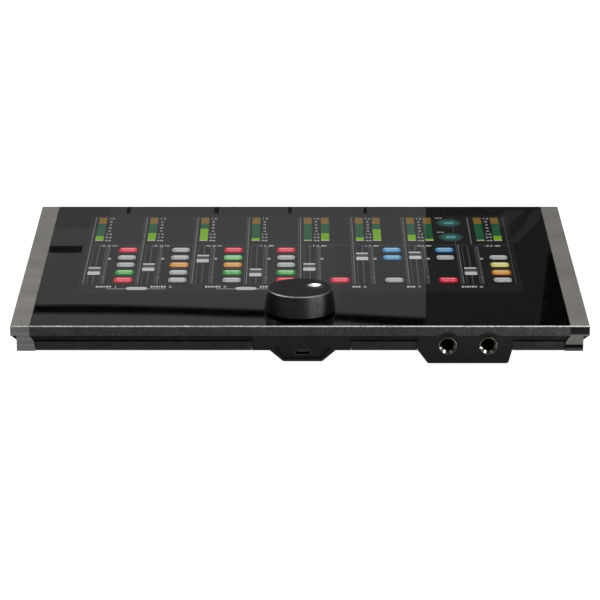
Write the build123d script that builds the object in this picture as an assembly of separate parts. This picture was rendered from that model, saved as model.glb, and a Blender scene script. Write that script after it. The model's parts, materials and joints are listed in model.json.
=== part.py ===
from build123d import *
import math
import os

# Desktop audio interface: a thin glass-topped deck between two metal side rails, on a wedge-shaped lower case.
# Two frames are used. Deck parts are drawn in the deck's own frame, with X right, Y back from the front edge and
# Z up from the glass, and place_deck() tilts them. Case parts are drawn in the row frame, with Z up from the desk.

# ---- Overall sizes -------------------------------------------------------------------------------------------
deck_width = 325.0
deck_depth = 245.0
deck_tilt = 7.0            # degrees, back edge up
front_height = 24.0        # glass front edge above the desk

# ---- Deck stack, measured down from the glass ------------------------------------------------------------------
glass_thickness = 1.8
tape_thickness = 0.3
plate_thickness = 3.7      # frame plate under the tape
skirt_height = 2.9         # frame skirt below the plate
parting_gap = 0.3          # shadow line between the frame skirt and the pan
pan_height = 5.7
pan_wall = 1.5
pan_floor = 1.2
slip = 0.1                 # assembly clearance between neighbouring faces
insert_gap = 0.15          # around the two front inserts

# ---- Frame, pan and rails ----------------------------------------------------------------------------------------
lip_width = 1.1            # metal left in front of and behind the glass
edge_chamfer = 0.5         # polished front edge
skirt_inset = 1.6
skirt_wall = 2.0
pan_inset = 0.8
pan_edge_chamfer = 0.5
rail_top_width = 10.8
rail_top_height = 5.8
rail_undercut = 3.5        # how far the rail's lower part stands in from its outer face
rail_undercut_drop = 2.8
rail_inner_step = 2.5      # how far the inner face moves inwards below the top block
rail_inner_drop = 3.5
rail_foot_step = 0.6
rail_notch_depth = 1.2     # step at each end, where the outer undercut stops short
rail_edge_chamfer = 0.35
side_skirt_wall = 2.5
side_skirt_depth = 7.0

# ---- Screws: thread radius, head radius, head height -------------------------------------------------------------
thread_radius = 1.5
head_radius = 2.7
head_height = 1.6
thread_slip = 0.05
screw_bite = 6.0           # thread length in the part it holds
boss_radius = 3.4

# ---- Display -----------------------------------------------------------------------------------------------------
active_width = 261.1       # 12.1 inch, 16:10
active_height = 163.2
screen_back_margin = 18.4  # lit area to the deck's rear edge
window_margin = 0.6        # clear glass around the lit area
panel_border = 5.0
panel_thickness = 1.7
tray_wall = 1.2
tray_floor = 0.7
tray_depth = 4.4
tray_ear = 7.0

# ---- Knob and encoder -------------------------------------------------------------------------------------------
knob_x = 0.0
knob_y = 28.8
knob_base_radius = 20.3
knob_top_radius = 18.3
knob_height = 12.7
knob_gap = 0.9             # knob above the glass
knob_rim_chamfer = 0.5
knob_foot_chamfer = 0.5
knob_wall = 2.2
knob_roof = 2.8
knob_press = 0.5           # push travel
dimple_radius = 5.3
dimple_offset = 8.8        # from the knob's axis
dimple_angle = 20.0        # degrees from +X, at rest
dimple_depth = 1.7
dimple_seat = 2.3
hub_radius = 5.6
hub_disc_thickness = 1.8
shaft_radius = 3.0
shaft_flat = 0.7           # depth of the D flat
shaft_slip = 0.05
bushing_radius = 3.6
encoder_side = 12.4
encoder_height = 5.0
nut_radius = 5.8
nut_height = 1.6
washer_thickness = 0.4
knob_hole_radius = 8.5     # in the glass, around the nut
plunger_radius = 3.4
plunger_thickness = 0.8
board_thickness = 1.2

# ---- Front USB port ----------------------------------------------------------------------------------------------
usb_insert_x = 0.8
usb_insert_half = 27.8
usb_x = 1.5
usb_z = -16.3
usb_pod_bottom = -21.2
usb_pod_top_half = 18.5
usb_pod_bottom_half = 11.0
usb_pod_depth = 18.0
usb_recess_depth = 1.3
usb_recess_top = -12.6
usb_recess_bottom = -19.7
usb_recess_top_half = 16.4
usb_recess_bottom_half = 10.3
usb_width = 8.94
usb_height = 3.26
usb_shell_wall = 0.3
usb_length = 7.4
tongue_width = 6.7
tongue_thickness = 0.7

# ---- Headphone sockets ---------------------------------------------------------------------------------------------
jack_xs = (83.0, 105.8)
jack_z = -12.0
jack_face_inset = 1.5
jack_pod_left = 66.1
jack_pod_right = 119.2
jack_pod_bottom = -22.5
jack_pod_left_slope = 5.8
jack_pod_right_slope = 2.1
jack_pod_gap = 0.6         # from the pod's back to the lower case
jack_relief_radius = 8.2
socket_radius = 3.3        # takes a 6.35 mm plug
bushing_flange_radius = 5.2
bushing_barrel_radius = 4.5
bushing_proud = 0.7
bushing_flange = 1.4
bushing_length = 8.6
bushing_mouth = 1.3        # chamfer leg at the mouth
jack_body_width = 15.4
jack_body_height = 11.0
jack_clear_radius = 3.6
pod_wall = 1.8
pod_front_wall = 3.0
pod_fillet = 1.5

# ---- Lower case, in the row frame ---------------------------------------------------------------------------------
case_side_setback = 22.5   # how far the case stands in from the deck's sides
case_front_setback = 40.5  # from the deck's front edge, in plan
case_back_setback = 15.5   # from the deck's rear edge, in plan
case_wall = 1.8
case_corner = 6.0
flange_width = 10.0
flange_thickness = 1.8
foot_height = 3.0
foot_radius = 8.0
foot_side_inset = 22.0     # foot centre from the case's side
foot_front_inset = 24.0
foot_back_inset = 17.0
cover_thickness = 1.5
panel_sheet = 2.0
vent_length = 26.0
vent_width = 2.4
vent_pitch = 7.0
vent_count = 9

# ---- Main board ----------------------------------------------------------------------------------------------------
standoff_height = 3.5
standoff_radius = 3.0
main_board_thickness = 1.6
main_side_gap = 16.2       # board edge to the inside of the case's walls
main_front_gap = 14.2
main_back_gap = 4.0        # board edge to the rear panel

# ---- Rear connectors -------------------------------------------------------------------------------------------------
combo_xs = (112.0, 78.0, 44.0, 10.0)
combo_face_radius = 11.8
combo_height = 11.0        # axis above the main board
combo_block = 26.0
combo_depth = 23.0
combo_pin_circle = 5.6
combo_pin_radius = 1.35
combo_groove_outer = 9.7
combo_groove_inner = 8.1
combo_groove_depth = 13.0
line_xs = (-22.0, -46.0)
line_height = 8.0
line_body = 16.0
line_depth = 27.0
line_thread_radius = 4.5
line_thread_proud = 3.2
line_nut_radius = 6.6
line_nut_height = 2.0
host_usb_x = -70.0
dc_x = -92.0
dc_height = 6.5
dc_body_width = 9.0
dc_body_depth = 14.0
dc_socket_radius = 2.9
dc_pin_radius = 1.05
power_x = -114.0
power_height = 6.5
button_radius = 4.5
button_proud = 3.0
button_travel = 2.0
button_skirt = 5.4
switch_side = 13.0
switch_depth = 15.0
connector_proud = 0.4
hole_slip = 0.3

# ---- Worked out ----------------------------------------------------------------------------------------------------
tilt = math.radians(deck_tilt)
half_width = deck_width / 2
active_centre_y = deck_depth - screen_back_margin - active_height / 2
tape_top = -glass_thickness
plate_top = tape_top - tape_thickness
plate_bottom = plate_top - plate_thickness
skirt_bottom = plate_bottom - skirt_height
pan_top = skirt_bottom - parting_gap
pan_bottom = pan_top - pan_height
pan_floor_top = pan_bottom + pan_floor
rail_inner = half_width - rail_top_width
rail_foot_width = rail_top_width + rail_inner_step + rail_foot_step
pan_half = half_width - rail_foot_width - slip
side_skirt_half = pan_half - pan_wall - slip
# The deck's tilted section spans from its front chamfer to its rear bottom edge, and the origin is midway.
front_reach = edge_chamfer * math.sin(tilt)
back_reach = deck_depth * math.cos(tilt) - pan_bottom * math.sin(tilt)
deck_front_y = -(front_reach + back_reach) / 2
case_half_width = half_width - case_side_setback
case_front_y = deck_front_y + case_front_setback
case_back_y = -deck_front_y - case_back_setback
bay_half = case_half_width - case_wall - flange_width
# The headphone pod reaches back to just in front of the case, measured at its lowest edge.
jack_pod_depth = (case_front_setback + jack_pod_bottom * math.sin(tilt)) / math.cos(tilt) - jack_pod_gap
jack_body_end = jack_pod_depth - pod_wall - 1.2
foot_x = case_half_width - foot_side_inset
foot_front_y = case_front_y + foot_front_inset
foot_back_y = case_back_y + panel_sheet - foot_back_inset
main_half_width = case_half_width - case_wall - main_side_gap
main_front_y = case_front_y + case_wall + main_front_gap
main_back_y = case_back_y - main_back_gap
cover_top = foot_height + cover_thickness
board_bottom = cover_top + standoff_height
board_top = board_bottom + main_board_thickness
panel_front_y = case_back_y
panel_back_y = case_back_y + panel_sheet


def place_deck(shape):
    """Tilts a shape from the deck's frame into the row frame."""
    return Pos(0, deck_front_y, front_height) * Rot(deck_tilt, 0, 0) * shape


def block(x0, x1, y0, y1, z0, z1):
    """A box between two corners."""
    return Pos((x0 + x1) / 2, (y0 + y1) / 2, (z0 + z1) / 2) * Box(x1 - x0, y1 - y0, z1 - z0)


def rod(x, y, z0, z1, radius):
    """A cylinder along Z."""
    return Pos(x, y, (z0 + z1) / 2) * Cylinder(radius, z1 - z0)


def bar(x, z, y0, y1, radius):
    """A cylinder along Y."""
    return Pos(x, (y0 + y1) / 2, z) * Rot(90, 0, 0) * Cylinder(radius, y1 - y0)


def taper(x, z, y0, y1, radius0, radius1):
    """A cone along Y, radius0 at y0 and radius1 at y1."""
    return Pos(x, (y0 + y1) / 2, z) * Rot(-90, 0, 0) * Cone(radius0, radius1, y1 - y0)


def run_back(points, y0, y1, fillet_at=(), radius=0.0):
    """Extrudes an outline given as (x, z) points from y0 back to y1. Corners named in fillet_at are rounded."""
    outline = Polyline(*points, close=True)
    corners = [points[i] for i in fillet_at]
    face = make_face(outline)
    if corners:
        near = [v for v in face.vertices() if any(math.dist((v.X, v.Y), c) < 1e-4 for c in corners)]
        face = fillet(near, radius)
    return extrude(Plane((0, y0, 0), x_dir=(1, 0, 0), z_dir=(0, -1, 0)) * face, -(y1 - y0))


def run_across(points, x0, x1):
    """Extrudes an outline given as (y, z) points from x0 to x1."""
    face = make_face(Polyline(*points, close=True))
    return extrude(Plane((x0, 0, 0), x_dir=(0, 1, 0), z_dir=(1, 0, 0)) * face, x1 - x0)


def slot_bar(x, z, y0, y1, width, height):
    """A rounded slot shape along Y, such as a USB shell's outline."""
    face = Plane((x, y0, z), x_dir=(1, 0, 0), z_dir=(0, -1, 0)) * RectangleRounded(width, height, height / 2 - 0.01)
    return extrude(face, -(y1 - y0))


def hexagon(x, y, z0, z1, radius, hole):
    nut = Pos(x, y, z0) * extrude(RegularPolygon(radius, 6), z1 - z0)
    return nut - rod(x, y, z0 - 1, z1 + 1, hole)


def pan_head(length, radius=thread_radius):
    """A screw pointing down -Z: its head stands on Z = 0, its thread hangs below, with a hex socket in the head."""
    head = fillet(Cylinder(head_radius, head_height).edges().sort_by(Axis.Z)[-1], head_height * 0.35)
    socket = extrude(RegularPolygon(head_radius * 0.5, 6), head_height * 0.6)
    screw = Pos(0, 0, head_height / 2) * head + Pos(0, 0, -length / 2) * Cylinder(radius, length)
    return screw - Pos(0, 0, head_height * 0.5) * socket


def flat_head(length, radius=thread_radius):
    """A countersunk screw pointing down -Z, flush with Z = 0."""
    drop = head_radius - radius
    head = Pos(0, 0, -drop / 2) * Cone(radius, head_radius, drop)
    screw = head + Pos(0, 0, -length / 2 - drop / 2) * Cylinder(radius, length - drop)
    return screw - extrude(RegularPolygon(head_radius * 0.45, 6), -drop * 0.8)


def countersink(length):
    """The hole that flat_head() sits in."""
    return flat_hole(length, head_radius + thread_slip, thread_radius + thread_slip)


def flat_hole(length, wide, narrow):
    drop = wide - narrow
    return Pos(0, 0, -drop / 2) * Cone(narrow, wide, drop) + Pos(0, 0, -length / 2) * Cylinder(narrow, length)


# ---- Deck ----------------------------------------------------------------------------------------------------------
def rail_outline():
    """The left rail's section as (distance in from its outer face, z)."""
    step = rail_top_width + rail_inner_step
    return [
        (rail_edge_chamfer, 0), (rail_top_width, 0), (rail_top_width, -rail_top_height),
        (step, -rail_top_height - rail_inner_drop), (rail_foot_width, pan_bottom), (rail_undercut, pan_bottom),
        (rail_undercut, -rail_top_height - rail_undercut_drop), (0, -rail_top_height), (0, -rail_edge_chamfer),
    ]


rail_screw_z = (pan_top + pan_floor_top) / 2 + 0.6
rail_screw_ys = [deck_depth * share for share in (0.2, 0.42, 0.64, 0.86)]
rail_screw_length = side_skirt_wall + pan_wall + screw_bite


def rail(side):
    points = [(side * (half_width - x), z) for x, z in rail_outline()]
    body = run_back(points, 0, deck_depth)
    cut = edge_chamfer * math.sqrt(2)
    for y in (0, deck_depth):
        edge = Pos(side * half_width, y, 0) * Rot(45, 0, 0) * Box(4 * rail_top_width, cut, cut)
        body -= edge
    # The sloping undercut starts a little behind each end, so the ends show a square notch.
    xs = sorted((side * half_width, side * (half_width - rail_undercut)))
    for y0, y1 in ((0, rail_notch_depth), (deck_depth - rail_notch_depth, deck_depth)):
        body -= block(*xs, y0, y1, -rail_top_height - rail_undercut_drop, -rail_top_height)
    for y in rail_screw_ys:
        hole = Pos(side * (pan_half - slip), y, rail_screw_z) * Rot(0, 90, 0)
        body -= hole * Cylinder(thread_radius + thread_slip, 2 * (screw_bite + slip))
    return body


def rail_screws():
    screws = []
    for side in (-1, 1):
        for y in rail_screw_ys:
            seat = Pos(side * (side_skirt_half - side_skirt_wall), y, rail_screw_z) * Rot(0, -90 * side, 0)
            screws.append(seat * pan_head(rail_screw_length))
    return screws


def display_opening(grow=0.0):
    """Half width and the front and back limits of the display module's tray."""
    half = active_width / 2 + panel_border + tray_wall + slip + grow
    reach = active_height / 2 + panel_border + tray_wall + slip + grow
    return half, active_centre_y - reach, active_centre_y + reach


pan_boss_spots = [(side * (side_skirt_half - side_skirt_wall - boss_radius - 1), y)
                  for side in (-1, 1) for y in (12.0, 0.36 * deck_depth, 0.66 * deck_depth, deck_depth - 12.0)]
boss_bottom = pan_floor_top + slip


def skirt_outline():
    """The front skirt as (x, z). Its ends follow the sloping inner faces of the rails."""
    top = rail_inner - slip
    bottom = top - rail_inner_step * (-skirt_bottom - rail_top_height) / rail_inner_drop
    return [(-top, plate_bottom), (top, plate_bottom), (bottom, skirt_bottom), (-bottom, skirt_bottom)]


def deck_frame():
    plate_half = rail_inner - slip / 2
    pocket_back = deck_depth - lip_width
    section = [
        (0, plate_bottom), (0, -edge_chamfer), (edge_chamfer, 0), (lip_width, 0), (lip_width, plate_top),
        (pocket_back, plate_top), (pocket_back, 0), (deck_depth - edge_chamfer, 0),
        (deck_depth, -edge_chamfer), (deck_depth, plate_bottom),
    ]
    frame = run_across(section, -plate_half, plate_half)
    skirt_half = side_skirt_half - side_skirt_wall
    for y in (skirt_inset, deck_depth - skirt_inset - skirt_wall):
        frame += run_back(skirt_outline(), y, y + skirt_wall)
    side_front = pan_inset + pan_wall + slip + skirt_wall
    for side in (-1, 1):
        xs = sorted((side * skirt_half, side * side_skirt_half))
        frame += block(*xs, side_front, deck_depth - side_front, plate_bottom - side_skirt_depth, plate_bottom)
        for y in rail_screw_ys:
            hole = Pos(side * skirt_half, y, rail_screw_z) * Rot(0, 90, 0)
            frame -= hole * Cylinder(thread_radius + thread_slip, 4 * side_skirt_wall)
    for x, y in pan_boss_spots:
        frame += rod(x, y, boss_bottom, plate_bottom, boss_radius)
        frame -= rod(x, y, boss_bottom - 1, plate_bottom, thread_radius + thread_slip)
    half, front, back = display_opening(slip)
    frame -= block(-half, half, front, back, plate_bottom - 1, plate_top + 1)
    for x, y in display_screw_spots():
        frame -= rod(x, y, plate_bottom - 1, plate_top - 1.0, thread_radius * 0.7 + thread_slip)
    frame -= rod(knob_x, knob_y, plate_bottom - 1, plate_top + 1, bushing_radius + slip)
    # The front skirt stops either side of the two front inserts.
    inserts = (
        (usb_insert_x - usb_insert_half, usb_insert_x + usb_insert_half),
        (jack_pod_left, jack_pod_right),
    )
    for left, right in inserts:
        frame -= block(left - insert_gap, right + insert_gap, -1, skirt_inset + skirt_wall + 1, skirt_bottom - 1, plate_bottom)
    for x in jack_xs:
        frame -= bar(x, jack_z, -1, jack_face_inset, jack_relief_radius)
    return frame


def base_pan():
    front, back = pan_inset, deck_depth - pan_inset
    c = pan_edge_chamfer
    section = [
        (front, pan_top - c), (front + c, pan_top), (front + pan_wall, pan_top), (front + pan_wall, pan_floor_top),
        (back - pan_wall, pan_floor_top), (back - pan_wall, pan_top), (back - c, pan_top), (back, pan_top - c),
        (back, pan_bottom + c), (back - c, pan_bottom), (front + c, pan_bottom), (front, pan_bottom + c),
    ]
    pan = run_across(section, -pan_half, pan_half)
    for side in (-1, 1):
        xs = sorted((side * (pan_half - pan_wall), side * pan_half))
        pan += block(*xs, front + pan_wall, back - pan_wall, pan_floor_top, pan_top)
        for y in rail_screw_ys:
            hole = Pos(side * pan_half, y, rail_screw_z) * Rot(0, 90, 0)
            pan -= hole * Cylinder(thread_radius + thread_slip, 4 * pan_wall)
    y0, y1 = bay_limits()
    pan -= block(-bay_half, bay_half, y0, y1, pan_bottom - 1, pan_floor_top + 1)
    for x, y in pan_boss_spots:
        pan -= Pos(x, y, pan_bottom) * Rot(180, 0, 0) * countersink(2 * pan_floor)
    for x, y in flange_screw_spots():
        pan -= rod(x, y, pan_bottom - 1, pan_floor_top + 1, thread_radius + thread_slip)
    for outline, depth in ((usb_outline(insert_gap), usb_pod_depth), (jack_outline(insert_gap), jack_pod_depth)):
        pan -= run_back(outline, -1, depth + insert_gap)
    return pan


def pan_screws():
    length = boss_bottom - pan_bottom + screw_bite
    return [Pos(x, y, pan_bottom) * Rot(180, 0, 0) * flat_head(length) for x, y in pan_boss_spots]


def cover_glass():
    sheet = block(-rail_inner + slip, rail_inner - slip, lip_width + slip, deck_depth - lip_width - slip,
                  tape_top, 0)
    sheet = chamfer(sheet.faces().sort_by(Axis.Z)[-1].edges(), 0.2)
    return sheet - rod(knob_x, knob_y, tape_top - 1, 1, knob_hole_radius)


def glass_tape():
    """Black bonding film under the glass, with a window for the lit area."""
    inset = 1.5
    half = active_width / 2 + window_margin
    reach = active_height / 2 + window_margin
    tape = block(-rail_inner + inset, rail_inner - inset, lip_width + inset, deck_depth - lip_width - inset,
                 plate_top, tape_top)
    tape -= block(-half, half, active_centre_y - reach, active_centre_y + reach, plate_top - 1, tape_top + 1)
    return tape - rod(knob_x, knob_y, plate_top - 1, tape_top + 1, knob_hole_radius + 0.5)


def lcd_panel():
    half = active_width / 2 + panel_border
    reach = active_height / 2 + panel_border
    return block(-half, half, active_centre_y - reach, active_centre_y + reach,
                 plate_top - panel_thickness, plate_top)


def display_screw_spots():
    half, front, back = display_opening()
    return [(side * (half - 30.0), y) for side in (-1, 1) for y in (front - tray_ear / 2, back + tray_ear / 2)]


def display_tray():
    half, front, back = display_opening(-slip)
    bottom = plate_top - tray_depth
    tray = block(-half, half, front, back, bottom, plate_top)
    w = tray_wall
    tray -= block(-half + w, half - w, front + w, back - w, bottom + tray_floor, plate_top + 1)
    # Raised pads carry the panel over the light guide space.
    for side in (-1, 1):
        xs = sorted((side * (half - w - 3.0), side * (half - w)))
        tray += block(*xs, front + w, back - w, bottom + tray_floor, plate_top - panel_thickness)
    for x, y in display_screw_spots():
        tray += block(x - 5, x + 5, y - tray_ear / 2 - 0.5, y + tray_ear / 2 + 0.5, bottom, plate_bottom)
        tray -= rod(x, y, bottom - 1, plate_bottom + 1, thread_radius * 0.7 + thread_slip)
    return tray


def display_screws():
    bottom = plate_top - tray_depth
    length = plate_bottom - bottom + 2.4
    return [Pos(x, y, bottom) * Rot(180, 0, 0) * pan_head(length, thread_radius * 0.7)
            for x, y in display_screw_spots()]


# ---- Front USB port ------------------------------------------------------------------------------------------------
def usb_outline(grow=0.0):
    """The USB insert's front outline as (x, z), grown outwards by a clearance."""
    top = plate_bottom - slip * 2
    g = grow
    return [
        (usb_insert_x - usb_insert_half - g, top), (usb_insert_x + usb_insert_half + g, top),
        (usb_insert_x + usb_insert_half + g, pan_bottom - g), (usb_x + usb_pod_top_half + g, pan_bottom - g),
        (usb_x + usb_pod_bottom_half + g, usb_pod_bottom - g), (usb_x - usb_pod_bottom_half - g, usb_pod_bottom - g),
        (usb_x - usb_pod_top_half - g, pan_bottom - g), (usb_insert_x - usb_insert_half - g, pan_bottom - g),
    ]


usb_face_y = pan_inset + 0.4


def usb_housing():
    body = run_back(usb_outline(), usb_face_y, usb_pod_depth, (4, 5), pod_fillet)
    w = pod_wall
    inner = [
        (usb_insert_x - usb_insert_half + w, plate_bottom - w), (usb_insert_x + usb_insert_half - w, plate_bottom - w),
        (usb_insert_x + usb_insert_half - w, pan_bottom + w), (usb_x + usb_pod_top_half - w, pan_bottom + w),
        (usb_x + usb_pod_bottom_half - w, usb_pod_bottom + w), (usb_x - usb_pod_bottom_half + w, usb_pod_bottom + w),
        (usb_x - usb_pod_top_half + w, pan_bottom + w), (usb_insert_x - usb_insert_half + w, pan_bottom + w),
    ]
    body -= run_back(inner, usb_face_y + pod_front_wall, usb_pod_depth + 1)
    recess = [
        (usb_x - usb_recess_top_half, usb_recess_top), (usb_x + usb_recess_top_half, usb_recess_top),
        (usb_x + usb_recess_bottom_half, usb_recess_bottom), (usb_x - usb_recess_bottom_half, usb_recess_bottom),
    ]
    body -= run_back(recess, usb_face_y - 1, usb_face_y + usb_recess_depth, (0, 1, 2, 3), 1.0)
    body -= slot_bar(usb_x, usb_z, usb_face_y, usb_face_y + pod_front_wall + 1,
                     usb_width + 2 * slip, usb_height + 2 * slip)
    # The encoder stands above the back of this insert, so its roof stops short of it.
    clear = encoder_side / 2 + 1
    return body - block(knob_x - clear, knob_x + clear, knob_y - clear - 4, usb_pod_depth + 1,
                        pan_bottom + 3, plate_bottom + 1)


def usb_shell(x, z, y0, y1, sign):
    """A USB-C receptacle's shell. Its mouth is at y0, and it is closed at y1."""
    shell = slot_bar(x, z, min(y0, y1), max(y0, y1), usb_width, usb_height)
    mouth, end = y0 - sign, y1 - sign * usb_shell_wall
    wall = 2 * usb_shell_wall
    return shell - slot_bar(x, z, min(mouth, end), max(mouth, end), usb_width - wall, usb_height - wall)


front_usb_mouth = usb_face_y + usb_recess_depth + 0.2


def front_usb_shell():
    return usb_shell(usb_x, usb_z, front_usb_mouth, front_usb_mouth + usb_length, 1)


def tongue(x, z, y0, y1):
    """The contact tongue inside a shell, from its tip y0 to the shell's back wall y1."""
    half = tongue_width / 2
    body = block(x - half, x + half, min(y0, y1), max(y0, y1), z - tongue_thickness / 2, z + tongue_thickness / 2)
    return chamfer(body.edges().filter_by(Axis.Z), 0.4)


def front_usb_board():
    top = usb_z - usb_height / 2
    return block(usb_x - 8.0, usb_x + 8.0, usb_face_y + pod_front_wall + 0.3, usb_pod_depth - 1, top - board_thickness,
                 top)


# ---- Headphone sockets ---------------------------------------------------------------------------------------------
def jack_outline(grow=0.0):
    top = plate_bottom - slip * 2
    g = grow
    return [
        (jack_pod_left - g, top), (jack_pod_right + g, top), (jack_pod_right + g, pan_bottom - g),
        (jack_pod_right - jack_pod_right_slope + g, jack_pod_bottom - g),
        (jack_pod_left + jack_pod_left_slope - g, jack_pod_bottom - g), (jack_pod_left - g, pan_bottom - g),
    ]


def jack_housing():
    body = run_back(jack_outline(), jack_face_inset, jack_pod_depth, (3, 4), pod_fillet)
    w = pod_wall
    inner = [
        (jack_pod_left + w, plate_bottom - slip - w), (jack_pod_right - w, plate_bottom - slip - w),
        (jack_pod_right - w, pan_bottom), (jack_pod_right - jack_pod_right_slope - w, jack_pod_bottom + w),
        (jack_pod_left + jack_pod_left_slope + w, jack_pod_bottom + w), (jack_pod_left + w, pan_bottom),
    ]
    back = jack_pod_depth - w
    body -= run_back(inner, jack_face_inset + pod_front_wall, back)
    # The roof is open over the socket bodies, and the back wall is open above the pan for the ribbon.
    body -= block(jack_pod_left + w, jack_pod_right - w, jack_face_inset + pod_front_wall, jack_pod_depth + 1,
                  pan_floor_top, plate_bottom + 1)
    for x in jack_xs:
        body -= bar(x, jack_z, jack_face_inset - 1, jack_face_inset + pod_front_wall + 1, bushing_barrel_radius + slip)
        body -= bar(x, jack_z, jack_face_inset - 1, jack_face_inset + bushing_flange - bushing_proud,
                    bushing_flange_radius + slip)
    return body


bushing_front = jack_face_inset - bushing_proud
bushing_back = bushing_front + bushing_length


def headphone_bushing(x):
    body = bar(x, jack_z, bushing_front, bushing_front + bushing_flange, bushing_flange_radius)
    body = fillet(body.edges().sort_by(Axis.Y)[0], 0.35)
    body += bar(x, jack_z, bushing_front + bushing_flange, bushing_back, bushing_barrel_radius)
    body -= bar(x, jack_z, bushing_front - 1, bushing_back + 1, socket_radius)
    mouth = taper(x, jack_z, bushing_front, bushing_front + bushing_mouth, socket_radius + bushing_mouth, socket_radius)
    return body - mouth


def headphone_jack(x):
    front = jack_face_inset + pod_front_wall + slip
    top = jack_z + jack_body_height / 2
    body = block(x - jack_body_width / 2, x + jack_body_width / 2, front, jack_body_end,
                 jack_z - jack_body_height / 2, top)
    body = chamfer(body.edges().filter_by(Axis.Y), 0.6)
    body -= bar(x, jack_z, front - 1, bushing_back + slip, bushing_barrel_radius + slip)
    body -= bar(x, jack_z, front, jack_body_end - 1.5, jack_clear_radius)
    return body


def headphone_board():
    top = jack_z - jack_body_height / 2
    front = jack_face_inset + pod_front_wall + 0.5
    return block(jack_xs[0] - 10.5, jack_xs[1] + 9.5, front, jack_pod_depth - pod_wall - 0.5, top - board_thickness, top)


# ---- Knob and encoder ----------------------------------------------------------------------------------------------
knob_base = knob_gap
knob_top = knob_gap + knob_height
hub_top = knob_top - knob_roof
encoder_bottom = plate_bottom - encoder_height
plunger_top = plate_bottom - 2.2
dimple_x = knob_x + dimple_offset * math.cos(math.radians(dimple_angle))
dimple_y = knob_y + dimple_offset * math.sin(math.radians(dimple_angle))


def knob_shell():
    """A turned cap: an upright section revolved about the knob's axis."""
    slope = (knob_base_radius - knob_top_radius) / knob_height
    shoulder = knob_top_radius + slope * knob_rim_chamfer
    section = [
        (0, knob_top), (knob_top_radius - knob_rim_chamfer, knob_top), (shoulder, knob_top - knob_rim_chamfer),
        (knob_base_radius, knob_base + knob_foot_chamfer), (knob_base_radius - knob_foot_chamfer, knob_base),
        (knob_base_radius - knob_wall, knob_base), (knob_top_radius - knob_wall, hub_top), (0, hub_top),
    ]
    profile = make_face(Plane.XZ * Polyline(*section, close=True))
    cap = Pos(knob_x, knob_y, 0) * revolve(profile, Axis.Z)
    return cap - rod(dimple_x, dimple_y, knob_top - dimple_seat, knob_top + 1, dimple_radius + thread_slip)


def knob_dimple():
    """The polished finger dish pressed into the knob's top."""
    insert = rod(dimple_x, dimple_y, knob_top - dimple_seat, knob_top, dimple_radius)
    rim = dimple_radius - 0.25
    ball_radius = (rim ** 2 + dimple_depth ** 2) / (2 * dimple_depth)
    return insert - Pos(dimple_x, dimple_y, knob_top + ball_radius - dimple_depth) * Sphere(ball_radius)


def d_section(radius):
    """A round section with a flat on its back side."""
    flat = shaft_flat + (radius - shaft_radius)
    return Circle(radius) - Pos(0, 2 * radius - flat) * Rectangle(2 * radius + 1, 2 * radius)


shaft_top = hub_top - hub_disc_thickness


def knob_hub():
    disc = rod(knob_x, knob_y, hub_top - hub_disc_thickness, hub_top, knob_top_radius - knob_wall - 1.0)
    tube = rod(knob_x, knob_y, knob_gap + 1.2, hub_top - hub_disc_thickness, hub_radius)
    bore = extrude(d_section(shaft_radius + shaft_slip), hub_top - hub_disc_thickness - knob_gap)
    return disc + tube - Pos(knob_x, knob_y, knob_gap) * bore


def encoder_shaft():
    flat_start = knob_gap + 0.6
    lower = rod(knob_x, knob_y, plunger_top, flat_start, shaft_radius)
    return lower + Pos(knob_x, knob_y, flat_start) * extrude(d_section(shaft_radius), shaft_top - flat_start)


def encoder_bushing():
    top = plate_top + washer_thickness + nut_height + 0.3
    body = rod(knob_x, knob_y, plate_bottom, top, bushing_radius)
    return body - rod(knob_x, knob_y, plate_bottom - 1, top + 1, shaft_radius + shaft_slip)


def encoder_washer():
    body = rod(knob_x, knob_y, plate_top, plate_top + washer_thickness, nut_radius)
    return body - rod(knob_x, knob_y, plate_top - 1, plate_top + 1, bushing_radius + slip)


def encoder_nut():
    bottom = plate_top + washer_thickness
    return hexagon(knob_x, knob_y, bottom, bottom + nut_height, nut_radius, bushing_radius + thread_slip)


def encoder_body():
    half = encoder_side / 2
    body = block(knob_x - half, knob_x + half, knob_y - half, knob_y + half, encoder_bottom, plate_bottom)
    body -= rod(knob_x, knob_y, plunger_top - plunger_thickness - knob_press - 0.2, plate_bottom + 1,
                plunger_radius + slip)
    return chamfer(body.edges().filter_by(Axis.Z), 0.5)


def encoder_plunger():
    return rod(knob_x, knob_y, plunger_top - plunger_thickness, plunger_top, plunger_radius)


def encoder_board():
    half = encoder_side / 2
    return block(knob_x - half - 2, knob_x + half + 2, knob_y - half + 0.5, knob_y + half + 8,
                 encoder_bottom - board_thickness, encoder_bottom)


# ---- Lower case ----------------------------------------------------------------------------------------------------
def deck_point(y, z):
    """A row-frame (y, z) point as the deck frame's (y, z)."""
    dy, dz = y - deck_front_y, z - front_height
    return dy * math.cos(tilt) + dz * math.sin(tilt), dz * math.cos(tilt) - dy * math.sin(tilt)


def under_deck(y, depth=0.0):
    """Row-frame height of the plane that lies depth below the pan's underside, at row-frame y."""
    return front_height + ((pan_bottom - slip - depth) + (y - deck_front_y) * math.sin(tilt)) / math.cos(tilt)


def bay_limits():
    """Front and back of the pan's opening over the case, in the deck frame."""
    inset = case_wall + flange_width
    front = deck_point(case_front_y + inset, under_deck(case_front_y + inset))[0]
    back = deck_point(case_back_y - inset, under_deck(case_back_y - inset))[0]
    return front, back


def flange_screw_spots():
    y0, y1 = bay_limits()
    x = bay_half + flange_width / 2
    across = [(side * x, y0 + share * (y1 - y0)) for side in (-1, 1) for share in (0.08, 0.5, 0.92)]
    return across + [(-40.0, y0 - flange_width / 2), (40.0, y0 - flange_width / 2)]


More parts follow.
